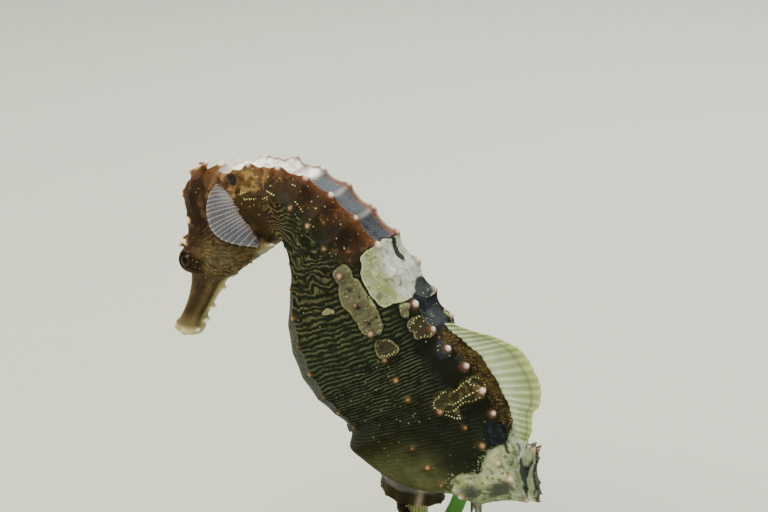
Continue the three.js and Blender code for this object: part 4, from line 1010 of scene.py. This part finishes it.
def skinMaterial(numbers):
    # live seahorse skin over bony rings: thin and slightly moist, so a soft broad gloss, with
    # pigment cells in lines, spots and veils of pale colour
    material, tree, shader = startMaterial("moist seahorse skin")
    space = addNode(tree, "TexCoord", out="Object")
    field = {}
    for name in numbers:
        field[name] = addNode(tree, "Attribute", {"attribute_name": name}, out="Fac")
    for name in washes:
        field[name] = addNode(tree, "Attribute", {"attribute_name": name}, out="Color")
    for name, (size, detail) in paint["noises"].items():
        field[name] = addNode(tree, "TexNoise", {},
                              {"Vector": space, "Scale": 1 / (size * mm), "Detail": detail})
    for name, (by, reach) in paint["uneven"].items():
        shift = addNode(tree, "Math", {"operation": "MULTIPLY_ADD"}, {0: field[by], 1: reach, 2: -reach / 2})
        field[name] = addNode(tree, "Math", {}, {0: field[name], 1: shift})
    for name, (cell, radius) in paint["dots"].items():
        # round spots, one to a cell
        cells = addNode(tree, "TexVoronoi", {}, {"Vector": space, "Scale": 1 / (cell * mm)})
        field[name] = addNode(tree, "MapRange", {"interpolation_type": "SMOOTHSTEP"},
                              {0: cells, 1: 1.3 * radius / cell, 2: 0.75 * radius / cell})
    # the beads of a string: distance in the plane of the run along it, cut in cells, and the way off it
    spacing, radius = paint["string"]
    cells = addNode(tree, "Math", {"operation": "DIVIDE"}, {0: field["stringRun"], 1: spacing})
    cells = addNode(tree, "Math", {"operation": "FRACT"}, {0: cells})
    cells = addNode(tree, "Math", {"operation": "MULTIPLY_ADD"}, {0: cells, 1: spacing, 2: -spacing / 2})
    plane = addNode(tree, "CombineXYZ", {}, {0: cells, 1: field["stringOff"]})
    far = addNode(tree, "VectorMath", {"operation": "LENGTH"}, {0: plane}, "Value")
    field["beads"] = addNode(tree, "MapRange", {"interpolation_type": "SMOOTHSTEP"},
                             {0: far, 1: 1.25 * radius, 2: 0.8 * radius})
    # the waves of the pigment lines and of the hatching: sines of a field moved by noise
    for name, source, amount in (("wave", "lineField", field["waver"]), ("strokes", "hatch", 1.6)):
        middle = addNode(tree, "Math", {"operation": "SUBTRACT"}, {0: field["wavy"], 1: 0.5})
        moved = addNode(tree, "Math", {"operation": "MULTIPLY_ADD"}, {0: middle, 1: amount, 2: field[source]})
        small = addNode(tree, "Math", {}, {0: field["medium"], 1: moved})
        turns = addNode(tree, "Math", {"operation": "MULTIPLY"}, {0: small, 1: 2 * np.pi})
        field[name] = addNode(tree, "Math", {"operation": "SINE"}, {0: turns})
    # shade the ground by the broad and the medium noise, then lay the layers on it
    shade = addNode(tree, "Math", {"operation": "MULTIPLY_ADD"}, {0: field["broad"], 1: 1.5, 2: -0.15})
    shade = addNode(tree, "Math", {"operation": "MULTIPLY_ADD"}, {0: field["medium"], 1: 0.8, 2: shade})
    grey = addNode(tree, "CombineColor", {}, {0: shade, 1: shade, 2: shade})
    colour = addNode(tree, "Mix", multiplied, {0: 1.0, 6: field["ground"], 7: grey}, 2)
    for tone, strength, steps in paint["layers"]:
        amount = strength
        for name, low, high in steps:
            step = addNode(tree, "MapRange", {"interpolation_type": "SMOOTHSTEP"},
                           {0: field[name], 1: low, 2: high})
            amount = addNode(tree, "Math", {"operation": "MULTIPLY"}, {0: step, 1: amount})
        colour = addNode(tree, "Mix", mixed, {0: amount, 6: colour, 7: field.get(tone, tone)}, 2)
    # relief: grain, pits, and the pale lines and beads standing a little proud
    pits = addNode(tree, "TexVoronoi", {}, {"Vector": space, "Scale": 1 / (0.5 * mm)})
    grain = addNode(tree, "Math", {"operation": "MULTIPLY_ADD"}, {0: pits, 1: 0.35, 2: field["fine"]})
    shown = addNode(tree, "Math", {"operation": "MULTIPLY"}, {0: field["wave"], 1: field["showLines"]})
    for raised, share in ((shown, 0.3), (field["beads"], 0.6)):
        grain = addNode(tree, "Math", {"operation": "MULTIPLY_ADD"}, {0: raised, 1: share, 2: grain})
    bump = addNode(tree, "Bump", {}, {"Strength": 0.5, "Distance": 0.00016, "Height": grain})
    rough = addNode(tree, "MapRange", {}, {0: field["medium"], 1: 0.3, 2: 0.7, 3: 0.48, 4: 0.68})
    feed(tree, shader, {"Base Color": colour, "Normal": bump, "Roughness": rough, "IOR": 1.42,
                        "Specular IOR Level": 0.13, "Subsurface Weight": 0.08,
                        "Subsurface Radius": (0.0012, 0.0006, 0.0003), "Subsurface Scale": 1.0})
    return material


def makeSkin():
    rows, columns, _ = skinPointsGrid.shape
    quads = gridFaces(rows, columns, True)
    p = skinPointsGrid.reshape(-1, 3)
    volume = np.einsum("ij,ij->i", p[quads[:, 0]], np.cross(p[quads[:, 1]], p[quads[:, 2]])).sum()
    if volume < 0:
        quads = quads[:, ::-1]
    piece = addMesh("skin", p, quads)
    numbers = paintSkin(piece)
    addBakeMap(piece, rows, columns)
    closeEnds(piece, rows, columns)
    dress(piece, skinMaterial(numbers), "skin", "snout", "head", "neck", "trunk_upper", "trunk_lower",
          "tail_base", "tail_bend", "tail_coil_1", "tail_coil_2", "tail_coil_3", "tail_tip")


def closeEnds(piece, rows, columns):
    # one flat face in the throat and one at the tip of the tail
    form = bmesh.new()
    form.from_mesh(piece.data)
    form.verts.ensure_lookup_table()
    for start in (0, (rows - 1) * columns):
        form.faces.new([form.verts[start + c] for c in range(columns)])
    bmesh.ops.recalc_face_normals(form, faces=form.faces)
    form.to_mesh(piece.data)
    form.free()
    piece.data.polygons.foreach_set("use_smooth", np.ones(len(piece.data.polygons), bool))


makeSkin()
print("skin made")


def eyeMaterial():
    # a living eye: clear wet cornea over a dark iris with thin gold spokes
    material, tree, shader = startMaterial("clear cornea over dark iris")
    outward = addNode(tree, "Attribute", {"attribute_name": "irisPlace"}, out="Fac")
    spoke = addNode(tree, "Attribute", {"attribute_name": "irisTurn"}, out="Fac")
    plane = addNode(tree, "CombineXYZ", {}, {0: spoke, 1: outward})
    streak = addNode(tree, "TexNoise", {"noise_dimensions": "2D"},
                     {"Scale": 9.0, "Detail": 4.0, "Vector": plane})
    rings = [(0.0, "040303"), (0.3, "050403"), (0.36, "3a2a14"), (0.44, "22170a"), (0.7, "190f07"),
             (1.0, "20150a")]
    ring = addNode(tree, "ValToRGB", {"ramp": rings}, {0: outward})
    streaks = addNode(tree, "MapRange", {}, {0: streak, 1: 0.35, 2: 0.7, 3: 0.55, 4: 1.7})
    tint = addNode(tree, "CombineColor", {}, {0: streaks, 1: streaks, 2: streaks})
    colour = addNode(tree, "Mix", multiplied, {0: 1.0, 6: ring, 7: tint}, 2)
    feed(tree, shader, {"Base Color": colour, "Roughness": 0.35, "IOR": 1.36, "Specular IOR Level": 0.12,
                        "Coat Weight": 0.1, "Coat Roughness": 0.12})
    return material


def makeEyes():
    # a ball with a slightly steeper cornea: radius plus a small bell round the looking direction
    material = eyeMaterial()
    for name, side in (("eye_left", 1), ("eye_right", -1)):
        low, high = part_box(name)
        centre = np.array((low + high) / 2) / mm
        radius = forms["eye"]["radius"]
        way = unit(np.array(forms["eye"]["way"]) * np.array([1.0, -side, 1.0]))
        a = unit(np.cross(way, [0, 0, 1.0]))
        b = np.cross(way, a)
        polar = np.linspace(0.02, np.pi - 0.02, 60)[:, None]
        turn = np.linspace(0, 2 * np.pi, 64, endpoint=False)[None, :]
        high, reach = forms["eye"]["cornea"]
        size = (radius - forms["eye"]["play"]) + high * bell(polar, reach)
        circle = np.cos(turn)[..., None] * a + np.sin(turn)[..., None] * b
        points = centre + (size * np.cos(polar))[..., None] * way + (size * np.sin(polar))[..., None] * circle
        flat, tris = closedTube(points)
        piece = addMesh(name + "ball", flat, tris)
        place = np.r_[(polar / 1.3 + 0 * turn).ravel(), 0.0, 2.0]
        spoke = np.r_[(np.abs(turn - np.pi) + 0 * polar).ravel(), 0.0, 0.0]
        addValues(piece, {"irisPlace": np.minimum(place, 1), "irisTurn": spoke * 3})
        dress(piece, material, "eye", name)


makeEyes()
print("eyes made")


crown = {
    "foot": (-33.0, 0.0, 84.2), "lean": (-0.05, 0.0, 1.0), "knobs": 5,
    # height and radius in mm down the middle of the wall: out of the head, up, over the rim and in
    "wall": [(0.0, -1.6, 2.7), (0.12, -0.7, 2.5), (0.3, 0.7, 1.95), (0.5, 2.2, 1.6), (0.66, 3.3, 1.75),
             (0.75, 3.85, 1.9), (0.82, 3.95, 1.5), (0.9, 3.8, 0.9), (1.0, 3.7, 0.1)],
    "knobUp": 0.55, "knobOut": 0.42,
}


def boneMaterial():
    # thin skin stretched over the bony coronet: red-brown, cream at the worn knobs
    material, tree, shader = startMaterial("skin over coronet bone")
    space = addNode(tree, "TexCoord", out="Object")
    blotch = addNode(tree, "TexNoise", {}, {"Vector": space, "Scale": 700.0, "Detail": 4.0})
    up = addNode(tree, "Attribute", {"attribute_name": "crownPlace"}, out="Fac")
    moved = addNode(tree, "Math", {"operation": "MULTIPLY_ADD"}, {0: blotch, 1: 0.25, 2: up})
    tones = [(0.1, "2b1d0f"), (0.4, "47290f"), (0.68, "6b4019"), (0.84, "b98f5c"), (0.94, "fbf3e2")]
    colour = addNode(tree, "ValToRGB", {"ramp": tones}, {0: moved})
    fine = addNode(tree, "TexNoise", {}, {"Vector": space, "Scale": 2600.0, "Detail": 3.0})
    bump = addNode(tree, "Bump", {}, {"Strength": 0.4, "Distance": 0.0002, "Height": fine})
    feed(tree, shader, {"Base Color": colour, "Normal": bump, "Roughness": 0.42, "IOR": 1.45})
    return material


def makeCoronet():
    # a column whose foot flares into the head and whose top opens to five knobs round a hollow:
    # radius and height are functions of the share t along the wall and of the turn
    axis = unit(np.array(crown["lean"]))
    back = unit(np.cross([0, 1.0, 0], axis))
    t = np.linspace(0, 1, 70)[:, None]
    turn = np.linspace(0, 2 * np.pi, 120, endpoint=False)[None, :]
    lobe = (0.5 + 0.5 * np.cos(crown["knobs"] * turn)) ** 0.9 * (1 + 0.2 * np.cos(turn))
    wall = np.array(crown["wall"])
    up, radius = along(wall[:, 0], wall[:, 1], t), along(wall[:, 0], wall[:, 2], t)
    near = bell(t - 0.76, 0.13)
    up = up + near * (lobe * crown["knobUp"] - 0.3) + 0.85 * fade(t, 0.3, 0.75) * np.cos(turn)
    radius = radius + near * (lobe * crown["knobOut"] - 0.15)
    radius = radius + 0.12 * np.cos(3 * turn + 1.0) * fade(t, 0.1, 0.4)
    points = np.array(crown["foot"]) + up[..., None] * axis + (radius * np.cos(turn))[..., None] * back + (
        radius * np.sin(turn))[..., None] * np.array([0, 1.0, 0])
    flat, tris = closedTube(points)
    piece = addMesh("coronet_crown", flat, tris)
    place = fade(t, 0.05, 0.8) * 0.55 + near * lobe * 0.42 + 0 * turn
    addValues(piece, {"crownPlace": np.r_[place.ravel(), 0.0, 0.3]})
    dress(piece, boneMaterial(), "coronet", "coronet")


makeCoronet()
print("coronet made")


def finMaterial(name, membrane, ray, edge, clear, thick=0.97):
    # fin skin: a clear membrane a few cells thick between bony rays, so light comes through it
    material, tree, shader = startMaterial(name)
    space = addNode(tree, "TexCoord", out="Object")
    onRay = addNode(tree, "Attribute", {"attribute_name": "ray"}, out="Fac")
    outward = addNode(tree, "Attribute", {"attribute_name": "outward"}, out="Fac")
    rising = addNode(tree, "MapRange", {}, {0: outward, 1: 0.0, 2: 0.4, 3: 0.25, 4: 1.0})
    onRay = addNode(tree, "Math", {"operation": "MULTIPLY"}, {0: onRay, 1: rising})
    cloud = addNode(tree, "TexNoise", {}, {"Vector": space, "Scale": 420.0, "Detail": 4.0})
    base = addNode(tree, "Mix", mixed, {0: onRay, 6: membrane, 7: ray}, 2)
    shade = addNode(tree, "MapRange", {}, {0: cloud, 1: 0.3, 2: 0.7, 3: 0.84, 4: 1.1})
    grey = addNode(tree, "CombineColor", {}, {0: shade, 1: shade, 2: shade})
    base = addNode(tree, "Mix", multiplied, {0: 0.8, 6: base, 7: grey}, 2)
    band = addNode(tree, "ValToRGB", {"ramp": edge}, {0: outward})
    colour = addNode(tree, "Mix", multiplied, {0: 1.0, 6: base, 7: band}, 2)
    solid = addNode(tree, "MapRange", {}, {0: onRay, 1: 0.0, 2: 0.8, 3: clear, 4: thick})
    fine = addNode(tree, "TexNoise", {}, {"Vector": space, "Scale": 2200.0, "Detail": 2.0})
    bump = addNode(tree, "Bump", {}, {"Strength": 0.12, "Distance": 0.0001, "Height": fine})
    feed(tree, shader, {"Base Color": colour, "Alpha": solid, "Normal": bump, "Roughness": 0.42, "IOR": 1.4,
                        "Subsurface Weight": 0.25, "Subsurface Radius": (0.0008, 0.0008, 0.0005),
                        "Subsurface Scale": 1.0})
    return material


def finSheet(name, surface, rays, membrane, rayHigh, sharp=5, steps=14, out=30, scallop=0.05):
    # a closed thin sheet over surface(s, t): half the thickness is the membrane plus a bell at each
    # ray, and the margin stands out a little at each ray
    s = np.linspace(0, 1, rays * steps + 1)[:, None]
    t = np.linspace(0, 1, out + 1)[None, :]
    onRay = np.cos(np.pi * s * rays) ** 2
    ray = onRay ** sharp + 0 * t
    reach = t * (1 - scallop * (1 - onRay) * t)
    step = 0.004
    mid = surface(s, reach)
    across = surface(np.minimum(s + step, 1), reach) - surface(np.maximum(s - step, 0), reach)
    up = surface(s, np.minimum(reach + step, 1.0)) - surface(s, np.maximum(reach - step, 0))
    normal = unit(np.cross(across, up))
    half = (membrane / 2 + rayHigh / 2 * ray * (1 - 0.55 * t)) * (1 - 0.5 * t ** 6)
    front, rear = mid + normal * half[..., None], mid - normal * half[..., None]
    loop = np.concatenate([front, rear[:, ::-1]], 1)
    flat, tris = closedTube(loop)
    piece = addMesh(name, flat, tris)
    for value, field in (("ray", ray), ("outward", t + 0 * s)):
        addValues(piece, {value: np.r_[np.concatenate([field, field[:, ::-1]], 1).ravel(), 0.0, 0.0]})
    return piece


dorsal = {
    "rays": 21, "from": 9.1, "to": 14.6, "sunk": 0.35,  # how far its foot lies in the skin, mm
    "length": [(9.1, 0.9), (9.6, 3.4), (10.2, 5.3), (10.9, 6.5), (11.5, 7.3), (12, 7.3), (12.5, 6.8),
               (12.9, 5.6), (13.25, 3.8), (13.8, 3.1), (14.2, 2.6), (14.6, 1.2)],
    "lean": [(8.7, 2), (9.5, 11), (10.9, 19), (11.5, 17), (12, 12), (12.5, 8), (12.9, 0), (14.6, -6)],
}


def makeDorsalFin():
    # each ray leaves the fin seat at the lean angle, in the midline, and the sheet waves sideways
    length, lean = np.array(dorsal["length"]), np.array(dorsal["lean"])

    def surface(s, t):
        q = dorsal["from"] + (dorsal["to"] - dorsal["from"]) * s
        foot = skinPoints(q, np.zeros_like(q), 1)[0]
        angle = np.radians(along(lean[:, 0], lean[:, 1], q))
        way = np.stack([np.cos(angle), 0.12 * np.sin(4 * s), np.sin(angle)], -1)
        reach = (along(length[:, 0], length[:, 1], q) + 0.75 + dorsal["sunk"]) * t
        wave = np.stack([0 * reach, 0.22 * np.sin(34 * s) * t ** 1.5 + 0 * reach, 0 * reach], -1)
        return foot + way * (reach - dorsal["sunk"])[..., None] + wave

    piece = finSheet("dorsal_fin_sheet", surface, dorsal["rays"], 0.22, 0.3, sharp=1.6, scallop=0.025)
    across = [(0.0, "ffffff"), (0.2, "f6f8f4"), (0.42, "cfd5bb"), (0.68, "bcc39f"), (0.755, "8c9570"),
              (0.8, "b9be94"), (0.9, "caca90"), (1.0, "dedcae")]
    dress(piece, finMaterial("dorsal fin membrane", "adbf96", "e3ecd6", across, 0.78), "fin", "dorsal_fin")


pectoral = {
    "rays": 18,
    # the foot lies just under the skin
    "foot": [(-26.4, 3.9, 85.6), (-23.9, 4.5, 84.7), (-22.3, 5.1, 83.9), (-21.4, 5.2, 83.0),
             (-21.0, 4.8, 81.7), (-20.5, 4.7, 80.8), (-19.9, 4.5, 79.6), (-19.4, 3.8, 78.0),
             (-18.8, 2.4, 75.0)],
    "edge": [(-26.8, 5.0, 86.1), (-28.0, 5.2, 84.5), (-28.5, 5.5, 82.4), (-28.4, 5.9, 80.6),
             (-27.4, 6.6, 78.3), (-26.0, 7.0, 76.9), (-24.3, 6.9, 75.9), (-21.6, 6.2, 75.2),
             (-18.0, 4.7, 74.8)],
    "bow": 0.75, "arch": 0.45,
}
anal = {
    "rays": 4, "foot": [(-0.1, 0, 39.5), (0.4, 0, 38.0)],
    "edge": [(-1.4, 0.1, 39.2), (-1.2, 0.1, 38.5), (-0.8, 0.1, 37.7)],
    "bow": 0.0, "arch": 0.0,
}


def fanSurface(shape, side):
    # straight lines from the foot curve to the edge curve, bowed outwards and arched by sines
    foot, edge = np.array(shape["foot"], float), np.array(shape["edge"], float)
    mirror = np.array([1.0, -side, 1.0])

    def surface(s, t):
        a = along(np.linspace(0, 1, len(foot)), foot, s) * mirror
        b = along(np.linspace(0, 1, len(edge)), edge, s) * mirror
        outwards = side * shape["bow"] * np.sin(np.pi * t) * np.sin(np.pi * s)
        upwards = shape["arch"] * np.sin(np.pi * t) * (1 - s)
        return a + (b - a) * t[..., None] + np.stack([0 * outwards, -outwards, upwards], -1)

    return surface


def makeSideFins():
    across = [(0.0, "ffe9da"), (0.16, "fdf0ea"), (0.42, "c4c6ce"), (0.9, "b9bec6"), (1.0, "ffffff")]
    clear = finMaterial("pectoral fin membrane", "8b8c90", "cdd0d4", across, 0.46, 0.62)
    for name, side in (("pectoral_fin_left", 1), ("pectoral_fin_right", -1)):
        piece = finSheet(name + "_sheet", fanSurface(pectoral, side), pectoral["rays"], 0.12, 0.16,
                         sharp=9, steps=18, scallop=0.01)
        dress(piece, clear, "fin", name)
    dark = finMaterial("anal fin membrane", "302c19", "4a4428", [(0.0, "ffffff"), (1.0, "ffffff")], 0.8, 0.95)
    piece = finSheet("anal_fin_sheet", fanSurface(anal, 1), anal["rays"], 0.25, 0.3)
    dress(piece, dark, "fin", "anal_fin")


makeDorsalFin()
makeSideFins()
print("fins made")


grass = {
    "axis": (9.4, 10.1), "foot": 12.0, "top": 30.5, "radius": 2.4, "lean": (-0.42, 0.91), "gap": 0.5,
    "blades": [
        {"side": 0.0, "rise": 23, "back": 6.5, "spread": 1.0, "width": 4.2},
        {"side": -1.7, "rise": 20, "back": 5.0, "spread": -4.0, "width": 3.6},
        {"side": 1.7, "rise": 18, "back": 4.5, "spread": 4.6, "width": 3.4},
    ],
    "low": [(4.6, 13.2), (6.4, 16.6), (8.2, 20.6), (9.4, 25.0)],
    "lowWidth": 4.0,
    "thick": 0.8,
}


def grassMaterial(name, dark, light, tipColour):
    # living seagrass leaf: smooth waxy skin over long parallel veins, with a dull gloss
    material, tree, shader = startMaterial(name)
    space = addNode(tree, "TexCoord", out="Object")
    across = addNode(tree, "Attribute", {"attribute_name": "across"}, out="Fac")
    up = addNode(tree, "Attribute", {"attribute_name": "upward"}, out="Fac")
    turns = addNode(tree, "Math", {"operation": "MULTIPLY"}, {0: across, 1: 60.0})
    vein = addNode(tree, "Math", {"operation": "SINE"}, {0: turns})
    cloud = addNode(tree, "TexNoise", {}, {"Vector": space, "Scale": 260.0, "Detail": 4.0})
    tone = addNode(tree, "Math", {"operation": "MULTIPLY_ADD"}, {0: vein, 1: 0.16, 2: cloud})
    green = addNode(tree, "ValToRGB", {"ramp": [(0.3, dark), (0.62, light)]}, {0: tone})
    aged = addNode(tree, "MapRange", {}, {0: up, 1: 0.82, 2: 1.05, 3: 0.0, 4: 0.8})
    colour = addNode(tree, "Mix", mixed, {0: aged, 6: green, 7: tipColour}, 2)
    bump = addNode(tree, "Bump", {}, {"Strength": 0.35, "Distance": 0.00015, "Height": vein})
    feed(tree, shader, {"Base Color": colour, "Normal": bump, "Roughness": 0.36, "IOR": 1.42,
                        "Subsurface Weight": 0.15, "Subsurface Radius": (0.0006, 0.0012, 0.0003),
                        "Subsurface Scale": 1.0})
    return material


def bladeStrip(name, points, sideways, width, narrow=0.25):
    # a leaf carried along a curve: a thin lens section, folded a little along the middle, which
    # narrows to a blunt rounded tip
    points = np.array(points, float)
    t = np.linspace(0, 1, 90)
    path = along(np.linspace(0, 1, len(points)), points, t)
    way = unit(np.gradient(path, axis=0))
    wide = unit(np.array(sideways, float))
    thick = unit(np.cross(way, wide))
    half = width / 2 * (1 - narrow * t) * np.sqrt(np.clip((1.0 - t) / 0.06, 0.05, 1))
    turn = np.linspace(0, 2 * np.pi, 40, endpoint=False)
    a = np.cos(turn)
    b = np.sin(turn) * (0.42 + 0.58 * (1 - a ** 2)) + 0.35 * (1 - np.abs(a)) - 0.2
    across, up = (half[:, None] * a)[..., None], (grass["thick"] * 0.4 * b)[:, None]
    flat, tris = closedTube(path[:, None] + across * wide + up * thick[:, None])
    piece = addMesh(name, flat, tris)
    spread = a[None, :] + 0 * half[:, None]
    addValues(piece, {"across": np.r_[spread.ravel() * 0.5, 0.0, 0.0],
                      "upward": np.r_[(t[:, None] + 0 * spread).ravel(), 0.0, 1.0]})
    return piece


def makeGrass():
    ax, ay = grass["axis"]
    bx, by = grass["lean"]
    fresh = grassMaterial("fresh seagrass leaf", "2c6a1c", "57a53a", "8a8f3c")
    for i, leaf in enumerate(grass["blades"]):
        points = []
        for t in (0, 0.5, 1):
            over = leaf["spread"] * t * t + leaf["side"]
            away = leaf["back"] * t ** 1.4 + abs(leaf["side"]) * 0.7
            points.append((ax + bx * away + by * over, ay + by * away - bx * over,
                           grass["top"] + grass["gap"] + leaf["rise"] * t))
        piece = bladeStrip(f"seagrass_leaf_{i + 1}", points, (by, -bx, 0), leaf["width"])
        dress(piece, fresh, "seagrass_blade", f"seagrass_blade_{i + 1}")
    points = [(ax + by * out, ay - bx * out, z) for out, z in grass["low"]]
    piece = bladeStrip("seagrass_leaf_low", points, (by, -bx, 0), grass["lowWidth"])
    dress(piece, fresh, "seagrass_blade", "seagrass_blade_low")
    # the sheath: a round stem of wrapped leaf bases, with a lapped edge that runs up it in a slant
    t = np.linspace(0, 1, 80)[:, None]
    turn = np.linspace(0, 2 * np.pi, 96, endpoint=False)[None, :]
    lap = (turn / (2 * np.pi) + 0.35 * t) % 1
    radius = grass["radius"] * (1 - 0.12 * t) * (0.93 + 0.05 * lap + 0.012 * np.sin(24 * turn))
    radius = radius * np.minimum(1, 0.8 + 4 * t) * np.minimum(1, 0.8 + 4 * (1 - t))
    height = grass["foot"] + (grass["top"] - grass["foot"]) * t
    points = np.stack([ax + radius * np.cos(turn), ay + radius * np.sin(turn) * 0.96, height + 0 * turn], -1)
    flat, tris = closedTube(points)
    piece = addMesh("seagrass_stem", flat, tris)
    addValues(piece, {"across": np.r_[(np.abs(turn - np.pi) / 3 + 0 * t).ravel(), 0.0, 0.0],
                      "upward": np.r_[(0.7 * t + 0 * turn).ravel(), 0.0, 0.7]})
    pale = grassMaterial("seagrass leaf sheath", "6f7a3c", "b3b56e", "8f8a4a")
    dress(piece, pale, "seagrass_sheath", "seagrass_sheath")


makeGrass()
print("seagrass made")


def woodMaterial():
    # oiled walnut, turned and sanded: long brown grain with darker rings and a soft sheen
    material, tree, shader = startMaterial("oiled walnut")
    space = addNode(tree, "TexCoord", out="Object")
    stretched = addNode(tree, "Mapping", {}, {"Vector": space, "Scale": (0.12, 1.0, 1.0)})
    grain = addNode(tree, "TexNoise", {},
                    {"Vector": stretched, "Scale": 260.0, "Detail": 6.0, "Distortion": 0.6})
    pores = addNode(tree, "TexNoise", {}, {"Vector": stretched, "Scale": 1500.0, "Detail": 2.0})
    brown = addNode(tree, "ValToRGB", {"ramp": [(0.32, "2a170c"), (0.5, "4b2c18"), (0.68, "6d4628")]},
                    {0: grain})
    dark = addNode(tree, "MapRange", {}, {0: pores, 1: 0.58, 2: 0.68, 3: 0.0, 4: 0.7})
    colour = addNode(tree, "Mix", mixed, {0: dark, 6: brown, 7: "1c0f08"}, 2)
    bump = addNode(tree, "Bump", {"invert": True}, {"Strength": 0.3, "Distance": 0.0001, "Height": dark})
    rough = addNode(tree, "MapRange", {}, {0: grain, 1: 0.3, 2: 0.7, 3: 0.34, 4: 0.5})
    feed(tree, shader, {"Base Color": colour, "Normal": bump, "Roughness": rough})
    return material


def steelMaterial():
    # drawn stainless steel rod: fine lines along it, and a long soft highlight
    material, tree, shader = startMaterial("drawn stainless steel")
    space = addNode(tree, "TexCoord", out="Object")
    stretched = addNode(tree, "Mapping", {}, {"Vector": space, "Scale": (1.0, 1.0, 0.02)})
    drawn = addNode(tree, "TexNoise", {}, {"Vector": stretched, "Scale": 5000.0, "Detail": 2.0})
    rough = addNode(tree, "MapRange", {}, {0: drawn, 1: 0.3, 2: 0.7, 3: 0.2, 4: 0.38})
    bump = addNode(tree, "Bump", {}, {"Strength": 0.1, "Distance": 0.00003, "Height": drawn})
    feed(tree, shader, {"Base Color": "c3c5c6", "Metallic": 1.0, "Roughness": rough, "Normal": bump})
    return material


stand = {
    # the edge of the base, foot to top, as inset and height of a base 5 mm tall
    "edge": [(2.0, 0.0), (0.7, 0.0), (0.25, 0.25), (0.0, 0.8), (0.0, 2.0), (0.3, 2.5), (0.9, 2.75),
             (1.15, 3.1), (1.3, 3.7), (1.75, 4.4), (2.6, 4.85), (4.0, 5.0), (9.0, 5.0), (16.0, 5.0)],
    "rodFoot": (0.75, 0.3),  # the rods narrow to this share of their radius over this height
}


def makeStand():
    # the base is an oval with a turned edge, a cove under a rounded shoulder: the edge's profile
    # carried round an ellipse; a rod is a circle carried up
    low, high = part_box("stand_base")
    a, b = high[0] / mm, high[1] / mm
    tall = high[2] / mm
    inset, height = np.array(stand["edge"]).T[..., None]
    turn = np.linspace(0, 2 * np.pi, 192, endpoint=False)[None, :]
    x, y = (a - inset) * np.cos(turn), (b - inset) * np.sin(turn)
    points = np.stack([x, y, height * tall / 5 + 0 * turn], -1)
    flat, tris = closedTube(points)
    piece = addMesh("stand_plinth", flat, tris)
    dress(piece, woodMaterial(), "stand_base", "stand_base")
    steel = steelMaterial()
    narrow, over = stand["rodFoot"]
    turn = np.linspace(0, 2 * np.pi, 64, endpoint=False)[None, :]
    for name in ("stand_rod_body", "stand_rod_perch"):
        low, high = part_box(name)
        x, y = (low[0] + high[0]) / 2 / mm, (low[1] + high[1]) / 2 / mm
        radius = (high[0] - low[0]) / 2 / mm
        z0, z1 = low[2] / mm, high[2] / mm
        heights = np.array([z0, z0 + over, (z0 + z1) / 2, z1])[:, None]
        wide = radius * np.array([narrow, 1, 1, 1])[:, None]
        points = np.stack([x + wide * np.cos(turn), y + wide * np.sin(turn), heights + 0 * turn], -1)
        flat, tris = closedTube(points)
        piece = addMesh(name + "_pin", flat, tris)
        dress(piece, steel, "stand_rod", name)


makeStand()
print("stand made")
